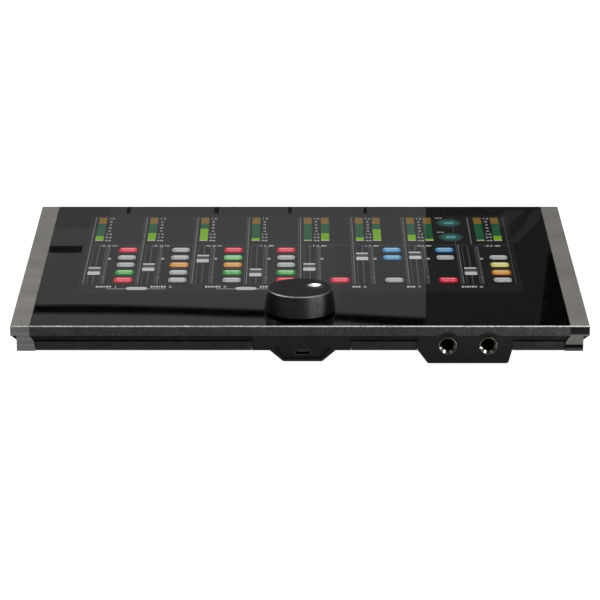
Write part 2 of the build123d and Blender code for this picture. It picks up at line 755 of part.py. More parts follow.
def footprint(y0, y1, z0, z1, inset=0.0):
    """The case's plan, with round front corners, as a solid."""
    half = case_half_width - inset
    solid = block(-half, half, y0 + inset, y1, z0, z1)
    front = solid.edges().filter_by(Axis.Z).group_by(Axis.Y)[0]
    return fillet(front, case_corner - inset)


def wedge_under(depth):
    """Everything lower than depth below the pan's underside, in the row frame."""
    size = 2 * deck_width
    top = pan_bottom - slip - depth
    return place_deck(block(-size, size, -size, size, top - size, top))


def lower_case():
    tall = front_height + deck_depth
    outer = footprint(case_front_y, case_back_y, cover_top, tall)
    inner = footprint(case_front_y, case_back_y + 1, cover_top - 1, tall, case_wall)
    walls = (outer - inner) & wedge_under(0)
    # Top flange, which lies against the pan, and bottom flange, which takes the cover's screws.
    y0, y1 = bay_limits()
    band = (outer & wedge_under(0)) - wedge_under(flange_thickness)
    band -= place_deck(block(-bay_half, bay_half, y0, deck_depth, pan_bottom - 60, 0))
    low = footprint(case_front_y, case_back_y, cover_top, cover_top + flange_thickness)
    inset = case_wall + flange_width
    low -= block(-case_half_width + inset, case_half_width - inset, case_front_y + inset, case_back_y - inset,
                 cover_top - 1, tall)
    case = walls + band + low
    for side in (-1, 1):
        xs = sorted((side * (case_half_width - inset), side * case_half_width))
        ear = block(*xs, case_back_y - flange_thickness, case_back_y, cover_top, tall)
        case += ear & wedge_under(0)
    for x, y in flange_screw_spots():
        case -= place_deck(rod(x, y, pan_bottom - 5, pan_bottom + 1, thread_radius + thread_slip))
    for x, y in bottom_screw_spots():
        case -= rod(x, y, cover_top - 1, cover_top + flange_thickness + 1, thread_radius + thread_slip)
    for x, z in rear_screw_spots():
        case -= bar(x, z, case_back_y - flange_thickness - 1, case_back_y + 1, thread_radius + thread_slip)
    return case


def flange_screws():
    length = pan_floor + slip + flange_thickness + 1.5
    return [place_deck(Pos(x, y, pan_floor_top) * pan_head(length)) for x, y in flange_screw_spots()]


def bottom_screw_spots():
    x = case_half_width - case_wall - flange_width / 2
    front = case_front_y + case_wall + flange_width / 2
    back = case_back_y - case_wall - flange_width / 2 - 2
    middle = (front + back) / 2
    return [(side * x, y) for side in (-1, 1) for y in (front + 4, middle, back)] + [(0, front), (0, back)]


def bottom_cover():
    cover = footprint(case_front_y, panel_back_y, foot_height, cover_top)
    cover = chamfer(cover.faces().sort_by(Axis.Z)[0].edges(), 0.5)
    for x, y in bottom_screw_spots():
        cover -= Pos(x, y, foot_height) * Rot(180, 0, 0) * countersink(2 * cover_thickness)
    for x, y in standoff_spots():
        cover -= Pos(x, y, foot_height) * Rot(180, 0, 0) * countersink(2 * cover_thickness)
    start = -(vent_count - 1) / 2 * vent_pitch
    for centre_x in (-62.0, 62.0):
        for i in range(vent_count):
            spot = Pos(centre_x + start + i * vent_pitch, 12.0, foot_height - 1)
            cover -= spot * extrude(SlotOverall(vent_length, vent_width, rotation=90), cover_thickness + 2)
    return cover


def bottom_screws():
    return [Pos(x, y, foot_height) * Rot(180, 0, 0) * flat_head(cover_thickness + flange_thickness + 1)
            for x, y in bottom_screw_spots()]


def feet():
    found = []
    for x in (-foot_x, foot_x):
        for y in (foot_front_y, foot_back_y):
            foot = rod(x, y, 0, foot_height, foot_radius)
            found.append(chamfer(foot.edges().sort_by(Axis.Z)[0], 0.7))
    return found


# ---- Boards ----------------------------------------------------------------------------------------------------
def standoff_spots():
    x = main_half_width - 6.0
    return [(side * x, y) for side in (-1, 1) for y in (main_front_y + 7, 0.0, 52.0)]


def main_board():
    board = block(-main_half_width, main_half_width, main_front_y, main_back_y, board_bottom, board_top)
    board = fillet(board.edges().filter_by(Axis.Z), 3.0)
    for x, y in standoff_spots():
        board -= rod(x, y, board_bottom - 1, board_top + 1, thread_radius + thread_slip)
    return board


def board_standoffs():
    posts = []
    for x, y in standoff_spots():
        post = hexagon(x, y, cover_top, board_bottom, standoff_radius, thread_radius + thread_slip)
        posts.append(post)
    return posts


def board_screws():
    """Pan heads above the board, and countersunk ones below the cover, meet inside each standoff."""
    length = main_board_thickness + standoff_height / 2 - 0.1
    above = [Pos(x, y, board_top) * pan_head(length) for x, y in standoff_spots()]
    reach = cover_thickness + standoff_height / 2 - 0.1
    below = [Pos(x, y, foot_height) * Rot(180, 0, 0) * flat_head(reach) for x, y in standoff_spots()]
    return above + below


processor_x, processor_y, processor_side, processor_height = -42.0, -4.0, 27.0, 2.4


def processor():
    half = processor_side / 2
    chip = block(processor_x - half, processor_x + half, processor_y - half, processor_y + half, board_top,
                 board_top + processor_height)
    return chamfer(chip.edges().filter_by(Axis.Z), 0.8)


def heat_sink():
    half, base, fin, count = 21.0, 2.4, 1.2, 9
    bottom = board_top + processor_height
    sink = block(processor_x - half, processor_x + half, processor_y - half, processor_y + half, bottom, bottom + base)
    pitch = (2 * half - fin) / (count - 1)
    for i in range(count):
        x = processor_x - half + i * pitch
        sink += block(x, x + fin, processor_y - half, processor_y + half, bottom + base, bottom + base + 7.0)
    return sink


def chips(spots, width, depth, height):
    """Flat packages standing on the main board."""
    return [block(x - width / 2, x + width / 2, y - depth / 2, y + depth / 2, board_top, board_top + height)
            for x, y in spots]


def memory_chips():
    return chips([(processor_x + 34 + 16 * (i % 2), processor_y - 14 + 16 * (i // 2)) for i in range(4)], 9, 12, 1.1)


def converter_chips():
    row_y = case_back_y - combo_depth - 14.0
    return chips([(x, row_y) for x in (*combo_xs, *line_xs)], 9, 9, 1.3)


def capacitors():
    found = []
    for i in range(8):
        x, y = power_x + 10 + 12 * (i % 4), 34.0 + 13 * (i // 4)
        can = rod(x, y, board_top, board_top + 11.0, 4.0)
        found.append(fillet(can.edges().sort_by(Axis.Z)[-1], 0.6))
    return found


# ---- Rear panel --------------------------------------------------------------------------------------------------
def rear_screw_spots():
    x = case_half_width - case_wall - flange_width / 2
    top = under_deck(panel_back_y) - 6.0
    return [(side * x, z) for side in (-1, 1) for z in (cover_top + 6.0, top)]


def rear_panel():
    top = under_deck(panel_back_y)
    panel = block(-case_half_width, case_half_width, panel_front_y, panel_back_y, cover_top, top + 10)
    panel = panel & wedge_under(0)
    for x in combo_xs:
        panel -= bar(x, board_top + combo_height, panel_front_y - 1, panel_back_y + 1, combo_face_radius + hole_slip)
    for x in line_xs:
        panel -= bar(x, board_top + line_height, panel_front_y - 1, panel_back_y + 1, line_thread_radius + hole_slip)
    usb_centre = board_top + usb_height / 2
    panel -= slot_bar(host_usb_x, usb_centre, panel_front_y - 1, panel_back_y + 1, usb_width + 2 * hole_slip,
                      usb_height + 2 * hole_slip)
    panel -= bar(dc_x, board_top + dc_height, panel_front_y - 1, panel_back_y + 1, dc_socket_radius + 1.6)
    panel -= bar(power_x, board_top + power_height, panel_front_y - 1, panel_back_y + 1, button_radius + hole_slip)
    for x, z in rear_screw_spots():
        panel -= bar(x, z, panel_front_y - 1, panel_back_y + 1, thread_radius + thread_slip)
    return panel


def rear_screws():
    length = panel_sheet + flange_thickness + 1.2
    return [Pos(x, panel_back_y, z) * Rot(-90, 0, 0) * pan_head(length) for x, z in rear_screw_spots()]


def combo_jack(x):
    """A combined XLR and 6.35 mm socket. Its face fills the panel's hole, and its block stands on the board."""
    z = board_top + combo_height
    face = panel_back_y + connector_proud
    behind = panel_front_y - slip
    front = face - combo_depth - panel_sheet
    body = block(x - combo_block / 2, x + combo_block / 2, front, behind, board_top, z + combo_height)
    body = chamfer(body.edges().filter_by(Axis.Y), 1.5)
    body += bar(x, z, front, face, combo_face_radius) & block(x - 20, x + 20, front, face, board_top, z + 30)
    groove = bar(x, z, face - combo_groove_depth, face + 1, combo_groove_outer)
    groove -= bar(x, z, face - combo_groove_depth - 1, face + 2, combo_groove_inner)
    body -= groove
    body -= bar(x, z, face - 22.0, face + 1, socket_radius)
    for angle in (35.0, 145.0, 270.0):
        px = x + combo_pin_circle * math.cos(math.radians(angle))
        pz = z + combo_pin_circle * math.sin(math.radians(angle))
        body -= bar(px, pz, face - 12.0, face + 1, combo_pin_radius)
    return body


def line_jacks():
    found = []
    z = board_top + line_height
    tip = panel_back_y + line_thread_proud
    for x in line_xs:
        body = block(x - line_body / 2, x + line_body / 2, panel_front_y - line_depth, panel_front_y - slip,
                     board_top, z + line_body / 2)
        body = chamfer(body.edges().filter_by(Axis.Y), 1.0)
        body += bar(x, z, panel_front_y - slip, tip, line_thread_radius)
        body -= bar(x, z, tip - 9.0, tip + 1, socket_radius)
        body -= bar(x, z, panel_front_y - line_depth + 1.5, tip - 8.5, jack_clear_radius)
        found.append(body)
    return found


def line_jack_nuts():
    z = board_top + line_height
    place = Rot(-90, 0, 0)
    return [Pos(x, panel_back_y, z) * place * hexagon(0, 0, 0, line_nut_height, line_nut_radius,
                                                     line_thread_radius + thread_slip) for x in line_xs]


def host_usb_shell():
    face = panel_back_y + connector_proud
    return usb_shell(host_usb_x, board_top + usb_height / 2, face, face - usb_length, -1)


def usb_tongues():
    front = tongue(usb_x, usb_z, front_usb_mouth + 1.6, front_usb_mouth + usb_length - usb_shell_wall)
    face = panel_back_y + connector_proud
    rear = tongue(host_usb_x, board_top + usb_height / 2, face - 1.6, face - usb_length + usb_shell_wall)
    return [place_deck(front), rear]


def dc_inlet():
    z = board_top + dc_height
    face = panel_back_y + connector_proud
    half = dc_body_width / 2
    body = block(dc_x - half, dc_x + half, panel_front_y - dc_body_depth, panel_front_y - slip, board_top,
                 z + half)
    body += bar(dc_x, z, panel_front_y - 2, face, dc_socket_radius + 1.3)
    body -= bar(dc_x, z, face - 10.0, face + 1, dc_socket_radius)
    return body - bar(dc_x, z, panel_front_y - dc_body_depth - 1, face, dc_pin_radius + thread_slip)


def dc_pin():
    z = board_top + dc_height
    pin = bar(dc_x, z, panel_front_y - dc_body_depth - 1, panel_back_y - 0.6, dc_pin_radius)
    return fillet(pin.edges().sort_by(Axis.Y)[-1], 0.5)


switch_back = panel_front_y - slip - switch_depth
button_back = panel_front_y - 3.0


def power_switch():
    """A hollow switch body that the button's skirt slides in."""
    z = board_top + power_height
    half = switch_side / 2
    body = block(power_x - half, power_x + half, switch_back, panel_front_y - slip, board_top, z + half)
    body = chamfer(body.edges().filter_by(Axis.Y), 0.8)
    return body - bar(power_x, z, button_back - button_travel - 0.6, panel_front_y, button_skirt + 0.15)


def power_button():
    z = board_top + power_height
    cap = bar(power_x, z, button_back, panel_back_y + button_proud, button_radius)
    cap = fillet(cap.edges().sort_by(Axis.Y)[-1], 0.6)
    return cap + bar(power_x, z, button_back, panel_front_y - slip, button_skirt)


# ---- Ribbons -------------------------------------------------------------------------------------------------------
ribbon_thickness = 0.3
ribbon_bend = 3.0


def ribbon(points, x, width):
    """A flat cable along (y, z) points in the row frame, with rounded bends."""
    bends = [ribbon_bend] * (len(points) - 2)
    path = FilletPolyline(*[(x, y, z) for y, z in points], radius=bends)
    start = Plane(origin=path @ 0, x_dir=(1, 0, 0), z_dir=path % 0)
    return sweep(start * Rectangle(width, ribbon_thickness), path=path)


def deck_to_row(y, z):
    """A deck-frame (y, z) point in the row frame."""
    return (deck_front_y + y * math.cos(tilt) - z * math.sin(tilt),
            front_height + y * math.sin(tilt) + z * math.cos(tilt))


ribbon_land = board_top + ribbon_thickness / 2 + 0.05


def display_ribbon():
    under = plate_top - tray_depth - ribbon_thickness / 2 - 0.05
    start = deck_to_row(active_centre_y + 34, under)
    turn = deck_to_row(active_centre_y + 8, under)
    drop = (turn[0] - 3.0, ribbon_land)
    return ribbon([start, turn, drop, (drop[0] - 16, ribbon_land)], 40.0, 34.0)


def encoder_ribbon():
    level = pan_floor_top + 1.2
    start = deck_to_row(knob_y + encoder_side / 2 + 9.0, level)
    over = deck_to_row(bay_limits()[0] + 7.0, level)
    return ribbon([start, over, (over[0] + 1.5, ribbon_land), (over[0] + 16.0, ribbon_land)], knob_x, 8.0)


def headphone_ribbon():
    level = pan_floor_top + 1.2
    start = deck_to_row(jack_pod_depth - 1.0, level)
    over = deck_to_row(bay_limits()[0] + 7.0, level)
    return ribbon([start, over, (over[0] + 1.5, ribbon_land), (over[0] + 16.0, ribbon_land)], jack_xs[0], 14.0)


# ---- Write one STEP per node ------------------------------------------------------------------------------------
deck_parts = {
    "cover_glass": cover_glass(),
    "glass_tape": glass_tape(),
    "lcd_panel": lcd_panel(),
    "display_tray": display_tray(),
    "display_screws": display_screws(),
    "deck_frame": deck_frame(),
    "rail_left": rail(-1),
    "rail_right": rail(1),
    "rail_screws": rail_screws(),
    "base_pan": base_pan(),
    "pan_screws": pan_screws(),
    "usb_housing": usb_housing(),
    "front_usb_shell": front_usb_shell(),
    "front_usb_board": front_usb_board(),
    "jack_housing": jack_housing(),
    "headphone_board": headphone_board(),
    "knob_shell": knob_shell(),
    "knob_dimple": knob_dimple(),
    "knob_hub": knob_hub(),
    "encoder_shaft": encoder_shaft(),
    "encoder_bushing": encoder_bushing(),
    "encoder_washer": encoder_washer(),
    "encoder_nut": encoder_nut(),
    "encoder_body": encoder_body(),
    "encoder_plunger": encoder_plunger(),
    "encoder_board": encoder_board(),
}
for number, x in enumerate(jack_xs, 1):
    deck_parts[f"headphone_bushing_{number}"] = headphone_bushing(x)
    deck_parts[f"headphone_jack_{number}"] = headphone_jack(x)

case_parts = {
    "usb_tongues": usb_tongues(),
    "lower_case": lower_case(),
    "flange_screws": flange_screws(),
    "bottom_cover": bottom_cover(),
    "bottom_screws": bottom_screws(),
    "feet": feet(),
    "main_board": main_board(),
    "board_standoffs": board_standoffs(),
    "board_screws": board_screws(),
    "processor": processor(),
    "heat_sink": heat_sink(),
    "memory_chips": memory_chips(),
    "converter_chips": converter_chips(),
    "capacitors": capacitors(),
    "rear_panel": rear_panel(),
    "rear_screws": rear_screws(),
    "line_jacks": line_jacks(),
    "line_jack_nuts": line_jack_nuts(),
    "host_usb_shell": host_usb_shell(),
    "dc_inlet": dc_inlet(),
    "dc_pin": dc_pin(),
    "power_switch": power_switch(),
    "power_button": power_button(),
    "display_ribbon": display_ribbon(),
    "encoder_ribbon": encoder_ribbon(),
    "headphone_ribbon": headphone_ribbon(),
}
for number, x in enumerate(combo_xs, 1):
    case_parts[f"combo_jack_{number}"] = combo_jack(x)


def as_one(shape):
    """Several separate solids go into one node as a compound."""
    return Compound(children=[*shape]) if isinstance(shape, list) else shape


os.makedirs("parts", exist_ok=True)
for node, shape in deck_parts.items():
    export_step(place_deck(as_one(shape)), f"parts/{node}.step")
for node, shape in case_parts.items():
    export_step(as_one(shape), f"parts/{node}.step")
print(len(deck_parts) + len(case_parts), "nodes")
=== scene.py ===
import json
import math

import bpy
from mathutils import Matrix, Vector


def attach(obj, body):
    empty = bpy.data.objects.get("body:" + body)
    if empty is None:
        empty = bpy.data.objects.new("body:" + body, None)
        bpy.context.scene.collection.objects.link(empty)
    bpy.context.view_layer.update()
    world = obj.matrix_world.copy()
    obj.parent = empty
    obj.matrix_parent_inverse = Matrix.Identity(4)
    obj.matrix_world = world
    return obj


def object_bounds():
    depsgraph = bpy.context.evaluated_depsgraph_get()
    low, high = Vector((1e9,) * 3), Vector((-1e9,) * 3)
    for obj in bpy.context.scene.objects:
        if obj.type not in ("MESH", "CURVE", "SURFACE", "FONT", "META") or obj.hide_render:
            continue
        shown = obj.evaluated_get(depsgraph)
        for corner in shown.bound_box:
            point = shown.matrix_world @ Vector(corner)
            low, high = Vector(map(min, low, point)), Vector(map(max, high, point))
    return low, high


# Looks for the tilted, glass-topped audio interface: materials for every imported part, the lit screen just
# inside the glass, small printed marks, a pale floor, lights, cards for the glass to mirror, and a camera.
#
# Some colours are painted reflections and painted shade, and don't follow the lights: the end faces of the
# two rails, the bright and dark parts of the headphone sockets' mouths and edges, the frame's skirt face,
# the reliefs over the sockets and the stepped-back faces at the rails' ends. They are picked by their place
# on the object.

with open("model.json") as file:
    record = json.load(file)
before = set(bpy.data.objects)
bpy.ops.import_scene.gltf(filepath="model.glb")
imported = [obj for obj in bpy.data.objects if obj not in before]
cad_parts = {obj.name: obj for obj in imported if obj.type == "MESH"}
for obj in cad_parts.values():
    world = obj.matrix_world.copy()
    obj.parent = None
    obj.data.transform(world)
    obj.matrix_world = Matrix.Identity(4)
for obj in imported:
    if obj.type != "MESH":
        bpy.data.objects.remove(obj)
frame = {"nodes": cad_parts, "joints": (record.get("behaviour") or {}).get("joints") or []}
cad_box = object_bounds()
MM = 0.001

# ---- The deck's own frame ------------------------------------------------------------------------
# The knob's axis stands square on the glass, so it gives the deck's tilt and where its front edge is.
knob_from_front = 28.8
knob_joint = next(j for j in frame["joints"] if j["name"] == "knob_turn")
deck_up = Vector(knob_joint["axis"]).normalized()
deck_right = Vector((1.0, 0.0, 0.0))
deck_back = deck_up.cross(deck_right)
deck_origin = Vector(knob_joint["pos_m"]) - deck_back * knob_from_front * MM


def on_deck(x, back, up=0.0):
    """A point in the deck's frame, in millimetres, as a row-frame point in metres."""
    return deck_origin + (deck_right * x + deck_back * back + deck_up * up) * MM


# ---- Node helpers --------------------------------------------------------------------------------
class Shader:
    """One material and short calls for the nodes it's made of."""

    def __init__(self, name, colour, roughness, metallic=0.0):
        self.material = bpy.data.materials.new(name)
        self.material.use_nodes = True
        self.tree = self.material.node_tree
        self.bsdf = self.tree.nodes["Principled BSDF"]
        self.bsdf.inputs["Base Color"].default_value = (*colour, 1.0)
        self.bsdf.inputs["Roughness"].default_value = roughness
        self.bsdf.inputs["Metallic"].default_value = metallic
        self.colour = colour
        self.material.diffuse_color = (*colour, 1.0)

    def node(self, kind, **settings):
        node = self.tree.nodes.new(kind)
        for key, value in settings.items():
            setattr(node, key, value)
        return node

    def link(self, source, target):
        self.tree.links.new(source, target)

    def place(self, stretch=(1.0, 1.0, 1.0), turn=(0.0, 0.0, 0.0)):
        """Object coordinates, which are the row frame in metres, stretched and turned."""
        where = self.node("ShaderNodeTexCoord")
        mapping = self.node("ShaderNodeMapping")
        mapping.inputs["Scale"].default_value = stretch
        mapping.inputs["Rotation"].default_value = turn
        self.link(where.outputs["Object"], mapping.inputs["Vector"])
        return mapping.outputs["Vector"]

    def noise(self, vector, scale, detail=4.0, roughness=0.6):
        noise = self.node("ShaderNodeTexNoise")
        noise.inputs["Scale"].default_value = scale
        noise.inputs["Detail"].default_value = detail
        noise.inputs["Roughness"].default_value = roughness
        self.link(vector, noise.inputs["Vector"])
        return noise.outputs["Fac"]

    def cells(self, vector, scale, feature="F1"):
        cells = self.node("ShaderNodeTexVoronoi", feature=feature)
        cells.inputs["Scale"].default_value = scale
        self.link(vector, cells.inputs["Vector"])
        return cells

    def spread(self, value, low, high, from_low=0.3, from_high=0.7):
        """Maps a 0 to 1 pattern to a range of values."""
        span = self.node("ShaderNodeMapRange")
        span.inputs["From Min"].default_value = from_low
        span.inputs["From Max"].default_value = from_high
        span.inputs["To Min"].default_value = low
        span.inputs["To Max"].default_value = high
        self.link(value, span.inputs["Value"])
        return span.outputs["Result"]

    def tint(self, value, dark, light, from_low=0.3, from_high=0.7):
        """Drives the base colour between two shades of the material's own colour."""
        ramp = self.node("ShaderNodeValToRGB")
        ramp.color_ramp.elements[0].position = from_low
        ramp.color_ramp.elements[1].position = from_high
        ramp.color_ramp.elements[0].color = (*[c * dark for c in self.colour], 1.0)
        ramp.color_ramp.elements[1].color = (*[min(1.0, c * light) for c in self.colour], 1.0)
        self.link(value, ramp.inputs["Fac"])
        self.link(ramp.outputs["Color"], self.bsdf.inputs["Base Color"])

    def rough(self, value, low, high, from_low=0.3, from_high=0.7):
        self.link(self.spread(value, low, high, from_low, from_high), self.bsdf.inputs["Roughness"])

    def bump(self, height, strength, distance):
        """distance is the depth of the relief in metres."""
        bump = self.node("ShaderNodeBump")
        bump.inputs["Strength"].default_value = strength
        bump.inputs["Distance"].default_value = distance
        self.link(height, bump.inputs["Height"])
        self.link(bump.outputs["Normal"], self.bsdf.inputs["Normal"])


def blasted_metal(name, colour, roughness, grain=1500.0, depth=0.00004, metallic=1.0):
    """Bead-blasted, anodised aluminium: a fine even grain with small bright facets."""
    s = Shader(name, colour, roughness, metallic)
    where = s.place()
    fine = s.noise(where, grain, 3.0, 0.7)
    blotch = s.noise(where, 220.0, 3.0, 0.6)
    facets = s.cells(where, grain * 0.9)
    mix = s.node("ShaderNodeMix", data_type="FLOAT")
    mix.inputs["Factor"].default_value = 0.45
    s.link(facets.outputs["Distance"], mix.inputs[2])
    s.link(blotch, mix.inputs[3])
    s.tint(mix.outputs[0], 0.6, 1.6, 0.25, 0.75)
    s.rough(fine, roughness - 0.08, roughness + 0.1)
    s.bump(fine, 0.5, depth)
    return s.material


def brushed_metal(name, colour, roughness, along=(400.0, 12.0, 400.0), depth=0.00001, metallic=1.0):
    """Metal brushed along one direction, with faint long streaks and a few cloudy patches."""
    s = Shader(name, colour, roughness, metallic)
    lines = s.noise(s.place(along), 10.0, 5.0, 0.75)
    cloud = s.noise(s.place(), 45.0, 3.0, 0.6)
    s.tint(lines, 0.88, 1.1)
    s.rough(cloud, roughness - 0.02, roughness + 0.03)
    s.bump(lines, 0.2, depth)
    return s.material


def streaked_metal(name, colour, roughness, dark=0.8, light=1.25):
    """A machined end face with painted reflections, as level streaks that shift slowly along it."""
    s = Shader(name, colour, roughness, 1.0)
    streaks = s.noise(s.place((9.0, 30.0, 520.0)), 1.0, 4.0, 0.7)
    s.tint(streaks, dark, light, 0.35, 0.65)
    s.rough(s.noise(s.place(), 900.0), roughness - 0.08, roughness + 0.08)
    return s.material


def banded_metal(name, colour, roughness, bands):
    """An end face with painted reflections and shade in level bands, as (height over the desk in mm, share
    of the colour).
    """
    s = Shader(name, colour, roughness, 1.0)
    split = s.node("ShaderNodeSeparateXYZ")
    s.link(s.place(), split.inputs["Vector"])
    low, high = bands[0][0], bands[-1][0] + 4.0
    level = s.spread(split.outputs["Z"], 0.0, 1.0, low * MM, high * MM)
    ramp = s.node("ShaderNodeValToRGB")
    ramp.color_ramp.interpolation = "EASE"
    stops = ramp.color_ramp.elements
    while len(stops) < len(bands):
        stops.new(0.5)
    for stop, (height, share) in zip(stops, bands):
        stop.position = (height - low) / (high - low)
        stop.color = (*[c * share for c in colour], 1.0)
    s.link(level, ramp.inputs["Fac"])
    s.link(ramp.outputs["Color"], s.bsdf.inputs["Base Color"])
    s.rough(s.noise(s.place(), 900.0), roughness - 0.08, roughness + 0.08)
    return s.material


def polished_metal(name, colour, roughness=0.14):
    s = Shader(name, colour, roughness, 1.0)
    fine = s.noise(s.place(), 900.0, 4.0, 0.6)
    s.tint(fine, 0.9, 1.08)
    s.rough(fine, roughness * 0.7, roughness * 1.5)
    return s.material


def turned_metal(name, colour, roughness=0.28, scale=5000.0):
    """Lathe-turned metal with rings about the piece's own axis, seen as very fine bands."""
    s = Shader(name, colour, roughness, 1.0)
    wave = s.node("ShaderNodeTexWave", wave_type="BANDS", bands_direction="Z")
    wave.inputs["Scale"].default_value = scale
    wave.inputs["Distortion"].default_value = 1.5
    s.link(s.place(), wave.inputs["Vector"])
    s.tint(wave.outputs["Fac"], 0.88, 1.06, 0.0, 1.0)
    s.rough(s.noise(s.place(), 300.0), roughness - 0.06, roughness + 0.08)
    s.bump(wave.outputs["Fac"], 0.15, 0.000005)
    return s.material


def moulded_plastic(name, colour, roughness=0.55, grain=2600.0, depth=0.00002, specular=0.35):
    """Injection-moulded plastic with a spark-eroded texture."""
    s = Shader(name, colour, roughness)
    s.bsdf.inputs["Specular IOR Level"].default_value = specular
    where = s.place()
    fine = s.noise(where, grain, 2.0, 0.5)
    broad = s.noise(where, 60.0, 3.0, 0.6)
    s.tint(broad, 0.88, 1.14)
    s.rough(fine, roughness - 0.07, roughness + 0.07)
    s.bump(fine, 0.35, depth)
    return s.material


def powder_coat(name, colour, roughness=0.5):
    """Painted sheet metal with a fine orange-peel skin."""
    s = Shader(name, colour, roughness)
    s.bsdf.inputs["Specular IOR Level"].default_value = 0.4
    where = s.place()
    peel = s.noise(where, 1300.0, 2.0, 0.45)
    s.tint(s.noise(where, 35.0), 0.9, 1.12)
    s.rough(peel, roughness - 0.08, roughness + 0.08)
    s.bump(peel, 0.5, 0.00005)
    return s.material


def rubber(name, colour):
    s = Shader(name, colour, 0.8)
    s.bsdf.inputs["Specular IOR Level"].default_value = 0.25
    grain = s.noise(s.place(), 1800.0, 4.0)
    s.tint(grain, 0.8, 1.25)
    s.bump(grain, 0.4, 0.00004)
    return s.material


def solder_mask(name, colour):
    """A circuit board: glossy mask over a copper pattern."""
    s = Shader(name, colour, 0.32)
    where = s.place()
    traces = s.cells(where, 420.0, "DISTANCE_TO_EDGE")
    line = s.spread(traces.outputs["Distance"], 1.0, 0.0, 0.02, 0.09)
    mix = s.node("ShaderNodeMix", data_type="RGBA")
    mix.inputs[6].default_value = (*colour, 1.0)
    mix.inputs[7].default_value = (*[min(1.0, c * 1.9 + 0.01) for c in colour], 1.0)
    s.link(line, mix.inputs[0])
    s.link(mix.outputs[2], s.bsdf.inputs["Base Color"])
    s.rough(s.noise(where, 500.0), 0.26, 0.4)
    s.bump(line, 0.3, 0.00003)
    return s.material


def flat_cable(name, colour):
    """A ribbon with fine conductors along it, seen through amber film."""
    s = Shader(name, colour, 0.3)
    wave = s.node("ShaderNodeTexWave", wave_type="BANDS", bands_direction="X")
    wave.inputs["Scale"].default_value = 320.0
    s.link(s.place(), wave.inputs["Vector"])
    s.tint(wave.outputs["Fac"], 0.6, 1.35, 0.3, 0.7)
    return s.material


def clear_glass(name):
    s = Shader(name, (1.0, 1.0, 1.0), 0.0)
    s.bsdf.inputs["Transmission Weight"].default_value = 1.0
    s.bsdf.inputs["IOR"].default_value = 1.5
    smudge = s.noise(s.place(), 14.0, 4.0, 0.55)
    s.rough(smudge, 0.0, 0.025, 0.45, 0.8)
    return s.material


def black_print(name):
    s = Shader(name, (0.0012, 0.0012, 0.0012), 0.5)
    s.bsdf.inputs["Specular IOR Level"].default_value = 0.05
    s.tint(s.noise(s.place(), 700.0), 0.7, 1.4)
    return s.material


def lit(name, colour, strength=1.0, shade=0.12):
    """A lit shape on the screen, with the panel's fine pixel rows over a soft vertical shade."""
    s = Shader(name, (0.0, 0.0, 0.0), 0.4)
    s.bsdf.inputs["Specular IOR Level"].default_value = 0.0
    rows = s.node("ShaderNodeTexWave", wave_type="BANDS", bands_direction="X")
    rows.inputs["Scale"].default_value = 1130.0
    s.link(s.place(), rows.inputs["Vector"])
    cloud = s.noise(s.place(), 60.0, 2.0)
    both = s.node("ShaderNodeMath", operation="MULTIPLY")
    s.link(s.spread(rows.outputs["Fac"], 1.0 - shade, 1.0, 0.0, 1.0), both.inputs[0])
    s.link(s.spread(cloud, 0.92, 1.08), both.inputs[1])
    ramp = s.node("ShaderNodeMix", data_type="RGBA")
    ramp.inputs[6].default_value = (0.0, 0.0, 0.0, 1.0)
    ramp.inputs[7].default_value = (*colour, 1.0)
    ramp.clamp_factor = False
    s.link(both.outputs[0], ramp.inputs[0])
    s.link(ramp.outputs[2], s.bsdf.inputs["Emission Color"])
    s.bsdf.inputs["Emission Strength"].default_value = strength
    return s.material


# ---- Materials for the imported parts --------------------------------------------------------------
deck_metal = blasted_metal("deck_metal", (0.0272, 0.0272, 0.0277), 0.42, 1300.0, 0.00006)
# Painted shade: a darker copy of the frame's metal for the skirt face under the lip.
skirt_painted_shade = blasted_metal("skirt_painted_shade", (0.010, 0.010, 0.0105), 0.5)
pan_metal = blasted_metal("pan_metal", (0.0185, 0.0185, 0.019), 0.5)
edge_metal = polished_metal("edge_metal", (0.62, 0.615, 0.60), 0.3)
rail_metal = brushed_metal("rail_metal", (0.42, 0.40, 0.365), 0.36)
# The two rails are one metal. Their end faces differ only to copy what each mirrors in the photograph.
# Painted reflections and shade on the left end: darker than the rail, with level streaks.
rail_end_left_painted_reflection = streaked_metal("rail_end_left_painted_reflection", (0.10, 0.10, 0.096), 0.3)
# Painted reflections and shade on the right end, as level bands of (height over the desk in mm, share of the
# colour).
right_end_reflection_bands = (
    (9.4, 0.42), (10.9, 0.42), (11.5, 0.03), (12.9, 0.03),
    (13.5, 1.0), (18.6, 1.0), (19.4, 0.12), (23.2, 0.08))
rail_end_right_painted_reflection = banded_metal("rail_end_right_painted_reflection", (0.09, 0.09, 0.083), 0.3, right_end_reflection_bands)
knob_metal = blasted_metal("knob_metal", (0.0165, 0.0165, 0.0168), 0.34, 1300.0, 0.00009)
knob_edge = polished_metal("knob_edge", (0.12, 0.12, 0.12), 0.36)
dish_metal = polished_metal("dish_metal", (0.20, 0.20, 0.20), 0.16)
socket_metal = polished_metal("socket_metal", (0.088, 0.082, 0.062), 0.16)
